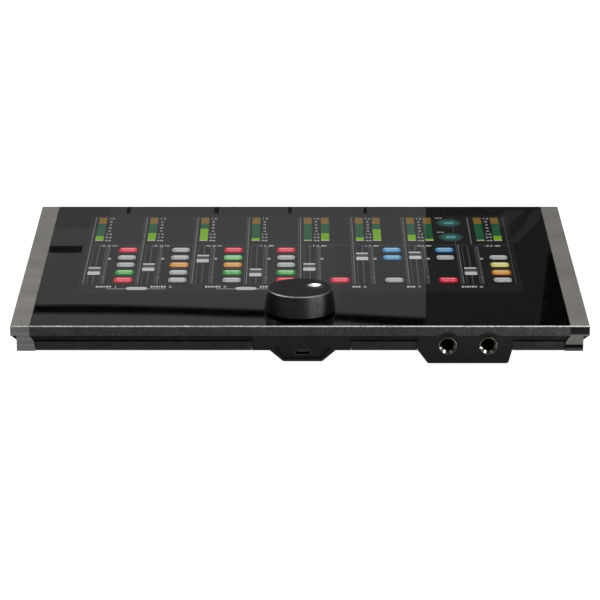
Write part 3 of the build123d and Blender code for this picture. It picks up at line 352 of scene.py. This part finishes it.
# Dark metal for the USB shells, also used as painted shade on the lower edges of the headphone sockets.
shell_metal_and_painted_shade = polished_metal("shell_metal_and_painted_shade", (0.05, 0.05, 0.05), 0.3)
plated = turned_metal("plated", (0.55, 0.55, 0.54))
hub_metal = turned_metal("hub_metal", (0.5, 0.5, 0.5))
standoff_metal = turned_metal("standoff_metal", (0.55, 0.42, 0.2))
sink_metal = brushed_metal("sink_metal", (0.05, 0.05, 0.05), 0.4)
can_metal = turned_metal("can_metal", (0.6, 0.6, 0.62), 0.3, 900.0)
tray_metal = brushed_metal("tray_metal", (0.42, 0.42, 0.43), 0.4)
screw_metal = turned_metal("screw_metal", (0.09, 0.09, 0.09), 0.38)
insert_plastic = moulded_plastic("insert_plastic", (0.0075, 0.0075, 0.0077), 0.5, specular=0.095)
socket_glint_metal = polished_metal("socket_glint_metal", (0.62, 0.60, 0.54), 0.2)
# Painted shadow: black for the reliefs over the sockets and the stepped-back faces at the rails' ends.
painted_shadow_black = rubber("painted_shadow_black", (0.002, 0.002, 0.002))
socket_plastic = moulded_plastic("socket_plastic", (0.010, 0.010, 0.011), 0.42)
combo_plastic = moulded_plastic("combo_plastic", (0.016, 0.016, 0.018), 0.38, 1500.0)
port_plastic = moulded_plastic("port_plastic", (0.012, 0.012, 0.012), 0.45)
plunger_plastic = moulded_plastic("plunger_plastic", (0.6, 0.6, 0.56), 0.4)
button_plastic = moulded_plastic("button_plastic", (0.03, 0.03, 0.031), 0.3, 900.0)
chip_plastic = moulded_plastic("chip_plastic", (0.014, 0.014, 0.014), 0.5, 4000.0)
case_paint = powder_coat("case_paint", (0.020, 0.020, 0.021))
foot_rubber = rubber("foot_rubber", (0.012, 0.012, 0.012))
board_mask = solder_mask("board_mask", (0.006, 0.03, 0.014))
ribbon_film = flat_cable("ribbon_film", (0.5, 0.28, 0.08))
glass = clear_glass("glass")
tape_print = black_print("tape_print")
panel_black = black_print("panel_black")

finishes = {
    "cover_glass": glass,
    "glass_tape": tape_print,
    "lcd_panel": panel_black,
    "display_tray": tray_metal,
    "deck_frame": deck_metal,
    "rail_left": rail_metal,
    "rail_right": rail_metal,
    "base_pan": pan_metal,
    "usb_housing": insert_plastic,
    "jack_housing": insert_plastic,
    "front_usb_shell": shell_metal_and_painted_shade,
    "host_usb_shell": shell_metal_and_painted_shade,
    "usb_tongues": port_plastic,
    "headphone_bushing_1": socket_metal,
    "headphone_bushing_2": socket_metal,
    "headphone_jack_1": socket_plastic,
    "headphone_jack_2": socket_plastic,
    "line_jacks": socket_plastic,
    "line_jack_nuts": plated,
    "dc_inlet": port_plastic,
    "dc_pin": plated,
    "power_switch": port_plastic,
    "power_button": button_plastic,
    "knob_shell": knob_metal,
    "knob_dimple": dish_metal,
    "knob_hub": hub_metal,
    "encoder_shaft": plated,
    "encoder_bushing": plated,
    "encoder_washer": plated,
    "encoder_nut": plated,
    "encoder_body": port_plastic,
    "encoder_plunger": plunger_plastic,
    "processor": chip_plastic,
    "memory_chips": chip_plastic,
    "converter_chips": chip_plastic,
    "heat_sink": sink_metal,
    "capacitors": can_metal,
    "board_standoffs": standoff_metal,
    "lower_case": case_paint,
    "bottom_cover": case_paint,
    "rear_panel": case_paint,
    "feet": foot_rubber,
}
for number in (1, 2, 3, 4):
    finishes[f"combo_jack_{number}"] = combo_plastic
for node in frame["nodes"]:
    if node.endswith("_screws"):
        finishes[node] = screw_metal
    if node.endswith("_board"):
        finishes[node] = board_mask
    if node.endswith("_ribbon"):
        finishes[node] = ribbon_film

for node, part in frame["nodes"].items():
    part.data.materials.clear()
    part.data.materials.append(finishes[node])


def face_finish(node, material, wanted):
    """Gives the faces that wanted(centre, normal) picks another material. The centre is in deck mm."""
    mesh = frame["nodes"][node].data
    mesh.materials.append(material)
    turn = Matrix((deck_right, deck_back, deck_up))
    for face in mesh.polygons:
        centre = turn @ (face.center - deck_origin) / MM
        if wanted(centre, turn @ face.normal):
            face.material_index = len(mesh.materials) - 1


def front_chamfer(centre, normal):
    return centre.y < 0.8 and centre.z > -0.8 and 0.5 < normal.z < 0.9 and normal.y < -0.5


def rail_end(centre, normal):
    return abs(normal.y) > 0.9


socket_places = (83.0, 105.8)
socket_depth = 12.0


def socket_polar(centre):
    """Distance in mm and direction in degrees from the nearer headphone socket's axis."""
    across = min((centre.x - x for x in socket_places), key=abs)
    lift = centre.z + socket_depth
    return math.hypot(across, lift), math.degrees(math.atan2(lift, across)) % 360.0


def socket_glint(centre, normal):
    """Two parts of the sockets' mouths that get a bright finish, in place of a mirrored light."""
    distance, angle = socket_polar(centre)
    return normal.y < -0.3 and distance < 4.8 and (193.0 < angle < 249.0 or 286.0 < angle < 306.0)


def socket_shade(centre, normal):
    """The lower half of the sockets' rounded outer edges, which gets painted shade in a dark metal."""
    distance, angle = socket_polar(centre)
    return distance > 4.55 and 185.0 < angle < 350.0


def socket_relief(centre, normal):
    """The round reliefs cut into the frame's lip over the two headphone sockets, which get painted black
    shadow.
    """
    distance, angle = socket_polar(centre)
    return distance < 7.6 and 0.1 < centre.y < 2.0 and -6.4 < centre.z < -1.0


def rail_notch(centre, normal):
    """The stepped-back faces where the undercut stops short of the rail's ends, which get painted black
    shadow.
    """
    return abs(normal.y) > 0.9 and 0.6 < centre.y < 3.0


# The frame's skirt face under the lip, which gets painted shade.
def skirt_face(centre, normal):
    return normal.y < -0.9 and 1.0 < centre.y < 2.2


def knob_rim(centre, normal):
    return centre.z > 12.8 and 0.4 < normal.z < 0.9


face_finish("deck_frame", edge_metal, front_chamfer)
# Painted shade on the frame's skirt face.
face_finish("deck_frame", skirt_painted_shade, skirt_face)
# Painted black shadow in the reliefs over the sockets.
face_finish("deck_frame", painted_shadow_black, socket_relief)
# Painted reflections and shade on the rails' end faces, and painted black shadow on their notches.
for node, end_painted_reflection in (("rail_left", rail_end_left_painted_reflection), ("rail_right", rail_end_right_painted_reflection)):
    face_finish(node, edge_metal, front_chamfer)
    face_finish(node, end_painted_reflection, rail_end)
    face_finish(node, painted_shadow_black, rail_notch)
face_finish("knob_shell", knob_edge, knob_rim)
# Painted highlights on the sockets' mouths and painted shade on their outer edges.
for number in (1, 2):
    face_finish(f"headphone_bushing_{number}", socket_glint_metal, socket_glint)
    face_finish(f"headphone_bushing_{number}", shell_metal_and_painted_shade, socket_shade)

# ---- The lit screen ------------------------------------------------------------------------------
# The picture lies just inside the underside of the glass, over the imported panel. The glass bends the view
# of it, so the layout is set back a little.
screen_level = -1.78
layer_step = 0.03
set_back = 1.4
strip_width = 31.8
strips_left = -4 * strip_width
divider_y = 159.3
strips_bottom, strips_top = 80.0, 220.0
meter_bottom, meter_top, meter_hot = 168.3, 219.3, 205.3
button_rows = (149.1, 133.3, 118.3, 102.9, 87.7)
button_width, button_height = 10.6, 9.3
fader_low, fader_high = 80.0, 156.0

white = lit("lit_white", (0.62, 0.62, 0.64))
soft_white = lit("lit_soft_white", (0.42, 0.42, 0.43))
line_light = lit("lit_line_light", (0.15, 0.15, 0.155))
line_grey = lit("lit_line", (0.072, 0.072, 0.076))
well_grey = lit("lit_well", (0.009, 0.009, 0.0095))
backdrop_grey = lit("lit_backdrop", (0.0115, 0.0115, 0.0119))
cap_grey = lit("lit_cap", (0.58, 0.58, 0.58))
meter_light = lit("lit_meter_light", (0.20, 0.42, 0.02))
meter_foot = lit("lit_meter_foot", (0.42, 0.52, 0.26))
meter_dark = lit("lit_meter_dark", (0.016, 0.098, 0.042))
meter_warm = lit("lit_meter_warm", (0.21, 0.13, 0.028))
teal = lit("lit_teal", (0.03, 0.12, 0.11))
teal_dark = lit("lit_teal_dark", (0.028, 0.062, 0.058))
teal_light = lit("lit_teal_light", (0.12, 0.36, 0.36))
# Each button colour: the face, the paler upper edge and legend, and the dark glow around it.
button_shades = {
    "grey": ((0.36, 0.36, 0.365), (0.62, 0.62, 0.63), (0.002, 0.002, 0.003)),
    "leaf": ((0.20, 0.56, 0.23), (0.47, 0.78, 0.45), (0.003, 0.045, 0.003)),
    "red": ((0.66, 0.035, 0.065), (1.0, 0.24, 0.29), (0.085, 0.002, 0.005)),
    "green": ((0.045, 0.34, 0.075), (0.40, 0.70, 0.36), (0.003, 0.045, 0.003)),
    "orange": ((0.68, 0.29, 0.06), (0.86, 0.55, 0.27), (0.07, 0.02, 0.002)),
    "yellow": ((0.66, 0.60, 0.18), (0.90, 0.86, 0.48), (0.04, 0.035, 0.004)),
    "blue": ((0.085, 0.29, 0.52), (0.34, 0.58, 0.78), (0.004, 0.02, 0.05)),
}


class Lit:
    """Flat lit shapes of one colour, gathered into one mesh on one layer of the screen."""

    slot = "display_glass"

    def __init__(self, name, material, layer, shift=set_back):
        self.name, self.material = name, material
        self.up = screen_level + layer * layer_step
        self.shift = shift
        self.points, self.faces = [], []

    def spot(self, x, y):
        return on_deck(x, y + self.shift, self.up)

    def outline(self, corners):
        first = len(self.points)
        self.points += [self.spot(x, y) for x, y in corners]
        self.faces.append(list(range(first, len(self.points))))

    def plate(self, x0, x1, y0, y1, radius=0.0):
        """A rectangle with rounded corners."""
        if radius <= 0:
            self.outline([(x0, y0), (x1, y0), (x1, y1), (x0, y1)])
            return
        corners = []
        steps = 5
        for cx, cy, start in ((x1 - radius, y0 + radius, -90), (x1 - radius, y1 - radius, 0),
                              (x0 + radius, y1 - radius, 90), (x0 + radius, y0 + radius, 180)):
            for i in range(steps + 1):
                angle = math.radians(start + 90 * i / steps)
                corners.append((cx + radius * math.cos(angle), cy + radius * math.sin(angle)))
        self.outline(corners)

    def ellipse(self, x, y, half_x, half_y, count=36):
        turns = [2 * math.pi * i / count for i in range(count)]
        self.outline([(x + half_x * math.cos(a), y + half_y * math.sin(a)) for a in turns])

    def text(self, words, x, y, size, align="LEFT"):
        """Numerals on the screen, as flat faces. size is in millimetres."""
        curve = bpy.data.curves.new("numerals", "FONT")
        curve.body, curve.size, curve.align_x = words, size, align
        curve.resolution_u = 2
        holder = bpy.data.objects.new("numerals", curve)
        bpy.context.scene.collection.objects.link(holder)
        bpy.context.view_layer.update()
        mesh = holder.evaluated_get(bpy.context.evaluated_depsgraph_get()).to_mesh()
        first = len(self.points)
        self.points += [self.spot(x + v.co.x, y + v.co.y) for v in mesh.vertices]
        self.faces += [[first + i for i in face.vertices] for face in mesh.polygons]
        bpy.data.objects.remove(holder)
        bpy.data.curves.remove(curve)

    def make(self):
        mesh = bpy.data.meshes.new(self.name)
        mesh.from_pydata(self.points, [], self.faces)
        mesh.materials.append(self.material)
        piece = bpy.data.objects.new(self.name, mesh)
        bpy.context.scene.collection.objects.link(piece)
        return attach(piece, "chassis")


backdrop = Lit("screen_backdrop", backdrop_grey, 0)
wells = Lit("screen_wells", well_grey, 1)
lines = Lit("screen_lines", line_grey, 2)
borders = Lit("screen_borders", line_light, 2)
marks = Lit("screen_marks", white, 4)
captions = Lit("screen_captions", soft_white, 4)
caps = Lit("screen_faders", cap_grey, 4)
cap_bodies = Lit("screen_fader_bodies", line_grey, 3)
meters_light = Lit("meters_light", meter_light, 3)
meters_foot = Lit("meters_foot", meter_foot, 4)
meters_dark = Lit("meters_dark", meter_dark, 2)
meters_warm = Lit("meters_warm", meter_warm, 2)
oval_rims = Lit("screen_oval_rims", teal_dark, 2)
ovals = Lit("screen_ovals", teal, 3)
oval_bars = Lit("screen_oval_bars", teal_light, 4)
screen_groups = [
    backdrop, wells, lines, borders, marks, captions, caps, cap_bodies,
    meters_light, meters_foot, meters_dark, meters_warm, oval_rims, ovals, oval_bars]
buttons = {}
for colour, (face_shade, pale_shade, glow_shade) in button_shades.items():
    pale = lit(f"lit_{colour}_pale", pale_shade)
    buttons[colour] = {
        "glow": Lit(f"buttons_{colour}_glow", lit(f"lit_{colour}_glow", glow_shade), 1),
        "face": Lit(f"buttons_{colour}", lit(f"lit_{colour}", face_shade), 2),
        "edge": Lit(f"buttons_{colour}_edge", pale, 3),
        "legend": Lit(f"buttons_{colour}_legend", pale, 4),
    }
    screen_groups += buttons[colour].values()


def dashes(group, x, y, widths, height, gap=0.55):
    """A run of short bars where the real screen has a word."""
    for width in widths:
        group.plate(x, x + width, y - height / 2, y + height / 2)
        x += width + gap


def meter(left, level, width=4.9):
    """A bar meter: dark green with a warm top, light green up to its level, on a pale foot."""
    meters_dark.plate(left, left + width, meter_bottom, meter_hot)
    meters_warm.plate(left, left + width, meter_hot, meter_top)
    meters_light.plate(left, left + width, meter_bottom, level)
    meters_foot.plate(left, left + width, meter_bottom, meter_bottom + 2.2)


def scale_numbers(centre):
    """The meter's scale, one number beside each step."""
    for i, number in enumerate(("12", "6", "3", "0", "3", "12", "24", "48")):
        marks.text(number, centre, 215.6 - i * 6.87, 4.2, "CENTER")


def fader(left, height):
    """The fader's slot, its guide lines and its cap."""
    wells.plate(left + 1.4, left + 10.6, fader_low, fader_high)
    for offset, width in ((2.3, 0.4), (5.5, 0.8), (9.8, 0.5)):
        lines.plate(left + offset, left + offset + width, fader_low, fader_high)
    for i in range(9):
        tick = fader_low + 3.0 + i * 8.6
        borders.plate(left + 10.9, left + 12.5, tick, tick + 2.2)
    lines.plate(left + 10.9, left + 12.5, fader_low, fader_high)
    cap_bodies.plate(left + 1.9, left + 9.1, height - 6.9, height + 8.4, 0.8)
    caps.plate(left + 1.9, left + 9.1, height + 5.6, height + 8.4, 0.8)
    caps.plate(left + 1.9, left + 9.1, height - 6.9, height - 0.4, 0.8)
    captions.ellipse(left + 13.2, 130.6, 1.1, 1.9, 12)


def button(left, row, colour):
    """A rounded button with a dark glow, a pale upper edge and a short legend."""
    y = button_rows[row]
    right = left + button_width
    half = button_height / 2
    group = buttons[colour]
    group["glow"].plate(left - 1.0, right + 1.0, y - half - 3.4, y + half + 2.2, 3.2)
    group["face"].plate(left, right, y - half, y + half, 2.6)
    group["edge"].plate(left + 0.9, right - 0.9, y + half - 3.6, y + half - 0.5, 1.4)
    dashes(group["legend"], left + 2.2, y - 1.2, (0.9, 1.2, 0.7, 1.0, 1.1), 2.4, 0.45)


def strip(number, fader_height, levels, colours):
    """One channel strip: borders, meters with numbers, a fader, and buttons as (row, colour)."""
    left = strips_left + number * strip_width
    if number == 7:
        borders.plate(left, left + 0.7, strips_bottom, divider_y)
        borders.plate(left + 8.4, left + 9.1, divider_y + 3.0, strips_top)
    else:
        borders.plate(left, left + 0.7, strips_bottom, strips_top)
    lines.plate(left + strip_width - 1.1, left + strip_width - 0.6, strips_bottom, strips_top)
    shift = 12.0 if number == 7 else 2.0
    meter(left + shift + 0.3, levels[0])
    scale_numbers(left + shift + 8.0)
    if len(levels) > 1:
        meter(left + shift + 10.9, levels[1])
    marks.text(f"-{3 * number + 2}.0", left + shift + 3.6, 156.0, 4.6)
    dashes(captions, left + shift + 11.6, 157.6, (0.8, 1.1), 2.6)
    fader(left, fader_height)
    for row, colour in colours:
        button(left + 18.2, row, colour)


input_buttons = (
    ("red", "grey", "grey", "green", "red"),
    ("grey", "grey", "orange", "grey", "grey"),
    ("red", "leaf", "orange", "green", "grey"),
    ("red", "grey", "grey", "green", "red"),
)
input_faders = (104.9, 112.6, 130.2, 101.9)
input_levels = (178.4, 185.5, 195.1, 174.7)
for number in range(4):
    strip(number, input_faders[number], (input_levels[number],), list(enumerate(input_buttons[number])))
strip(4, 113.0, (169.2, 184.7), [(4, "red")])
strip(5, 134.8, (176.3, 193.6), [(0, "blue"), (1, "blue"), (4, "grey")])
strip(6, 137.0, (181.6, 172.7), [(0, "blue"), (1, "grey"), (4, "red")])
strip(7, 104.5, (169.5, 179.0), [(1, "grey"), (2, "yellow"), (3, "orange"), (4, "grey")])

screen_left, screen_right, screen_front, screen_rear = -129.6, 129.6, 63.4, 225.2
backdrop.plate(screen_left, screen_right, screen_front, screen_rear)
lines.plate(strips_left, -strips_left, divider_y - 0.4, divider_y + 0.4)
wells.plate(screen_left, screen_right, screen_rear - 3.0, screen_rear)
for number in range(8):
    left = strips_left + number * strip_width
    word = (1.2, 0.9, 1.1, 0.6, 1.3, 0.9) if number in (0, 1, 2, 3, 7) else (1.3, 1.0, 1.2)
    inset = 8.4 if number < 4 else -1.2
    dashes(marks, left + inset, 74.3, word, 3.2)
    marks.text(str(number + 1), left + inset + sum(word) + 0.55 * len(word) + 0.9, 72.6, 4.8)
for middle in (strips_left + strip_width, strips_left + 3 * strip_width):
    captions.plate(middle - 17.0, middle + 17.4, 69.5, 70.4)
    caps.plate(middle - 5.8, middle + 6.6, 67.9, 73.7, 2.6)
for y, lift in ((207.6, 0.0), (176.4, 1.0)):
    middle = strips_left + 6 * strip_width + 28.6
    oval_rims.ellipse(middle, y, 7.6, 8.8)
    ovals.ellipse(middle, y, 5.8, 6.6)
    oval_bars.plate(middle - 3.0, middle + 3.2, y - 1.5 - lift, y + 1.5 + lift, 1.2)
    dashes(captions, middle - 8.0, y + 10.4, (1.0, 0.8, 1.1), 2.2)

for group in screen_groups:
    group.make()


def border_print():
    """The black print around the picture and the knob's hole, just inside the underside of the glass."""
    turn = Matrix((deck_right, deck_back, deck_up))
    spots = [turn @ (v.co - deck_origin) / MM for v in frame["nodes"]["cover_glass"].data.vertices]
    side = max(spot.x for spot in spots) - 0.3
    front = min(spot.y for spot in spots) + 0.3
    rear = max(spot.y for spot in spots) - 0.3
    print_black = Lit("border_print", black_print("border_black"), -0.4, 0.0)
    print_black.slot = "black_tape"
    low, high = screen_front + 1.0, screen_rear + 1.0
    hole = 8.8
    print_black.plate(-side, side, high, rear)
    print_black.plate(-side, screen_left + 0.5, low, high)
    print_black.plate(screen_right - 0.5, side, low, high)
    for way in (-1.0, 1.0):
        turns = [math.pi * i / 24 for i in range(25)]
        arc = [(way * hole * math.sin(a), knob_from_front - hole * math.cos(a)) for a in turns]
        print_black.outline([(way * side, front), (0.0, front), *arc, (0.0, low), (way * side, low)])
    print_black.make()


border_print()


# ---- Rear panel print ----------------------------------------------------------------------------
class RearPrint(Lit):
    """Flat shapes on the rear panel, seen from behind: x runs to the right and y up from the desk."""

    slot = "case_paint"
    face = max(v.co.y for v in frame["nodes"]["rear_panel"].data.vertices)

    def spot(self, x, y):
        return Vector((-x * MM, self.face + 0.04 * MM, y * MM))


def print_ink(name, colour):
    s = Shader(name, colour, 0.55)
    s.tint(s.noise(s.place(), 2400.0), 0.85, 1.1)
    return s.material


audio_port_places = (-112.0, -78.0, -44.0, -10.0, 22.0, 46.0)
small_port_places = (70.0, 92.0, 114.0)
numeral_foot = 34.1
dot_height = 35.2
dot_radius = 0.9


def rear_print():
    """A number over each audio port, a dot over the rest, and a small lamp beside the power button."""
    numerals = RearPrint("rear_numerals", print_ink("rear_ink", (0.42, 0.42, 0.42)), 0)
    for number, x in enumerate(audio_port_places, 1):
        numerals.text(str(number), x, numeral_foot, 3.2, "CENTER")
    for x in small_port_places:
        numerals.ellipse(x, dot_height, dot_radius, dot_radius, 20)
    numerals.make()
    lamp = RearPrint("rear_lamp", lit("lit_lamp", (0.30, 0.85, 0.42), 1.0), 0)
    lamp.slot = "display_glass"
    lamp.ellipse(103.0, 28.0, dot_radius, dot_radius, 24)
    lamp.make()


rear_print()


# ---- Floor, light and camera ---------------------------------------------------------------------
def floor():
    """A pale floor that glows by itself, so that it comes out white all round the object."""
    s = Shader("floor", (0.14, 0.14, 0.14), 0.9)
    s.bsdf.inputs["Specular IOR Level"].default_value = 0.0
    s.bsdf.inputs["Emission Color"].default_value = (1.0, 1.0, 1.0, 1.0)
    s.bsdf.inputs["Emission Strength"].default_value = 1.0
    s.tint(s.noise(s.place(), 3.0), 0.995, 1.005)
    mesh = bpy.data.meshes.new("floor")
    reach = 9.0
    ground = cad_box[0][2]
    mesh.from_pydata([(-reach, -reach, ground), (reach, -reach, ground), (reach, reach, ground),
                      (-reach, reach, ground)], [], [(0, 1, 2, 3)])
    mesh.materials.append(s.material)
    ground_piece = bpy.data.objects.new("floor", mesh)
    bpy.context.scene.collection.objects.link(ground_piece)


eye_back, eye_up = -1752.3, 567.8
flag_back = 2500.0


def flag(name, corners, shade, step=0, fade=None):
    """A dull glowing card behind the object, for the glass to mirror.

    Its corners are given as the points of the glass that mirror them, in mm. step brings it forward of the
    others, and fade is its shade at the top where that differs."""
    s = Shader(name, (0.0, 0.0, 0.0), 1.0)
    s.bsdf.inputs["Specular IOR Level"].default_value = 0.0
    s.bsdf.inputs["Emission Color"].default_value = (shade, shade, shade, 1.0)
    s.bsdf.inputs["Emission Strength"].default_value = 1.0
    distance = flag_back - 10.0 * step
    points = []
    for x, back in corners:
        reach = (distance - eye_back) / (back - eye_back)
        points.append(on_deck(x * reach, distance, eye_up * (reach - 1.0)))
    if fade is not None:
        heights = [point.z for point in points]
        split = s.node("ShaderNodeSeparateXYZ")
        s.link(s.place(), split.inputs["Vector"])
        level = s.spread(split.outputs["Z"], fade, shade, min(heights), max(heights))
        s.link(level, s.bsdf.inputs["Emission Color"])
    mesh = bpy.data.meshes.new(name)
    mesh.from_pydata(points, [], [list(range(len(points)))])
    mesh.materials.append(s.material)
    card = bpy.data.objects.new(name, mesh)
    bpy.context.scene.collection.objects.link(card)


def low_bar(name, grow, shade, step):
    """The long dark bar mirrored along the front of the glass, grown or shrunk for its soft edges."""
    upper = [(-175.0, 38.2), (-108.0, 38.0), (-74.0, 34.8), (-20.0, 28.8), (26.0, 21.8), (72.0, 14.0)]
    lower = [
        (72.0, -8.0), (54.0, 0.8), (26.0, 8.4), (-20.0, 15.8),
        (-74.0, 21.8), (-108.0, 23.8), (-175.0, 25.0)]
    corners = [(x, back + grow) for x, back in upper] + [(x, back - grow) for x, back in lower]
    flag(name, corners, shade, step)


glass_near, glass_far = -12.0, 262.0
glass_beyond = 260.0


def flags():
    """What the glass mirrors: a pale wall, darker towards the right, crossed by a few thin dark bars.

    The cards' places were worked out from the reflections in the photograph."""
    near, far, beyond = glass_near, glass_far, glass_beyond
    flag("flag_wall", [(-beyond, near), (beyond, near), (beyond, far), (-beyond, far)], 0.205, 0, 0.198)
    flag("flag_middle", [(22.0, near), (22.0, far), (110.0, far), (110.0, near)], 0.178, 1, 0.19)
    flag("flag_top_left", [(-175.0, 196.0), (-116.0, 196.0), (-122.0, far), (-175.0, far)], 0.16, 1)
    low_bar("flag_low_bar_soft", 3.0, 0.105, 2)
    low_bar("flag_low_bar_half", 1.0, 0.05, 3)
    low_bar("flag_low_bar_dark", -1.5, 0.0, 4)
    flag("flag_right", [(70.0, near), (80.0, far), (beyond, far), (beyond, near)], 0.034, 5, 0.036)
    flag("flag_ray_right", [(126.0, 165.0), (132.0, 165.0), (145.5, 203.0), (154.0, 238.0), (147.0, 238.0),
                            (139.0, 203.0)], 0.072, 6)
    flag("flag_ray_left", [(119.0, 192.0), (128.0, 200.0), (142.0, 236.0), (129.0, 236.0)], 0.072, 6)
    flag("flag_far_right", [(133.0, near), (149.0, 140.0), (149.5, 146.0), (beyond, 146.0), (beyond, near)],
         0.0, 7)
    flag("flag_left_bar", [(-175.0, 142.8), (-131.5, 142.8), (-131.5, 157.6), (-175.0, 157.6)], 0.02, 2)
    for x, width in ((-107.6, 2.4), (-52.3, 2.8), (-6.2, 2.6), (41.0, 2.2)):
        left, right = x - width / 2, x + width / 2
        flag(f"flag_post_{x:.0f}", [(left, 229.0), (right, 229.0), (right, far), (left, far)], 0.03, 2)


def softbox(name, place, aim, width, height, power):
    """A soft rectangular light, aimed at a point. Places are in metres and power in watts."""
    light = bpy.data.lights.new(name, "AREA")
    light.shape, light.size, light.size_y = "RECTANGLE", width, height
    light.energy = power
    holder = bpy.data.objects.new(name, light)
    holder.location = place
    holder.rotation_euler = (Vector(aim) - Vector(place)).to_track_quat("-Z", "Y").to_euler()
    bpy.context.scene.collection.objects.link(holder)


def surroundings(strength):
    """An even white glow from all round."""
    world = bpy.data.worlds.new("studio")
    bpy.context.scene.world = world
    world.use_nodes = True
    world.node_tree.nodes["Background"].inputs["Color"].default_value = (1.0, 1.0, 1.0, 1.0)
    world.node_tree.nodes["Background"].inputs["Strength"].default_value = strength


look_down = 17.5
long_lens = 197.3


def camera():
    """In front of the deck and a long way off, looking down on the glass by look_down degrees."""
    view = bpy.data.cameras.new("camera")
    view.lens, view.sensor_width = long_lens, 36.0
    view.clip_end = 60.0
    holder = bpy.data.objects.new("camera", view)
    holder.location = on_deck(0.0, eye_back, eye_up)
    lift = math.atan2(deck_back.z, deck_back.y)
    holder.rotation_euler = (math.radians(90.0 - look_down) + lift, 0.0, 0.0)
    bpy.context.scene.collection.objects.link(holder)
    bpy.context.scene.camera = holder


floor()
flags()
surroundings(0.16)
softbox("overhead_left", (-1.2, 0.4, 2.3), (-0.7, 0.4, 0.0), 1.6, 3.4, 98.0)
softbox("overhead_middle", (0.0, -0.13, 2.3), (0.0, -0.13, 0.0), 1.2, 0.36, 5.5)
softbox("overhead_right", (1.25, -0.3, 2.3), (0.8, -0.3, 0.0), 1.4, 2.2, 26.0)
softbox("overhead_rear", (0.95, 0.9, 2.3), (0.6, 0.6, 0.0), 0.6, 1.2, 8.0)
softbox("right_front", (1.5, -1.2, 1.8), (0.0, 0.0, 0.03), 0.9, 0.8, 14.0)
# Two small lights lie almost on the floor, facing up, for the right of the knob's side to mirror.
softbox("low_near_right", (0.30, -0.17, 0.004), (0.30, -0.17, 1.0), 0.12, 0.16, 3.4)
softbox("low_far_right", (0.21, -0.33, 0.004), (0.21, -0.33, 1.0), 0.14, 0.12, 2.4)
camera()
bpy.context.scene.view_settings.view_transform = "Standard"
bpy.context.scene.view_settings.look = "None"
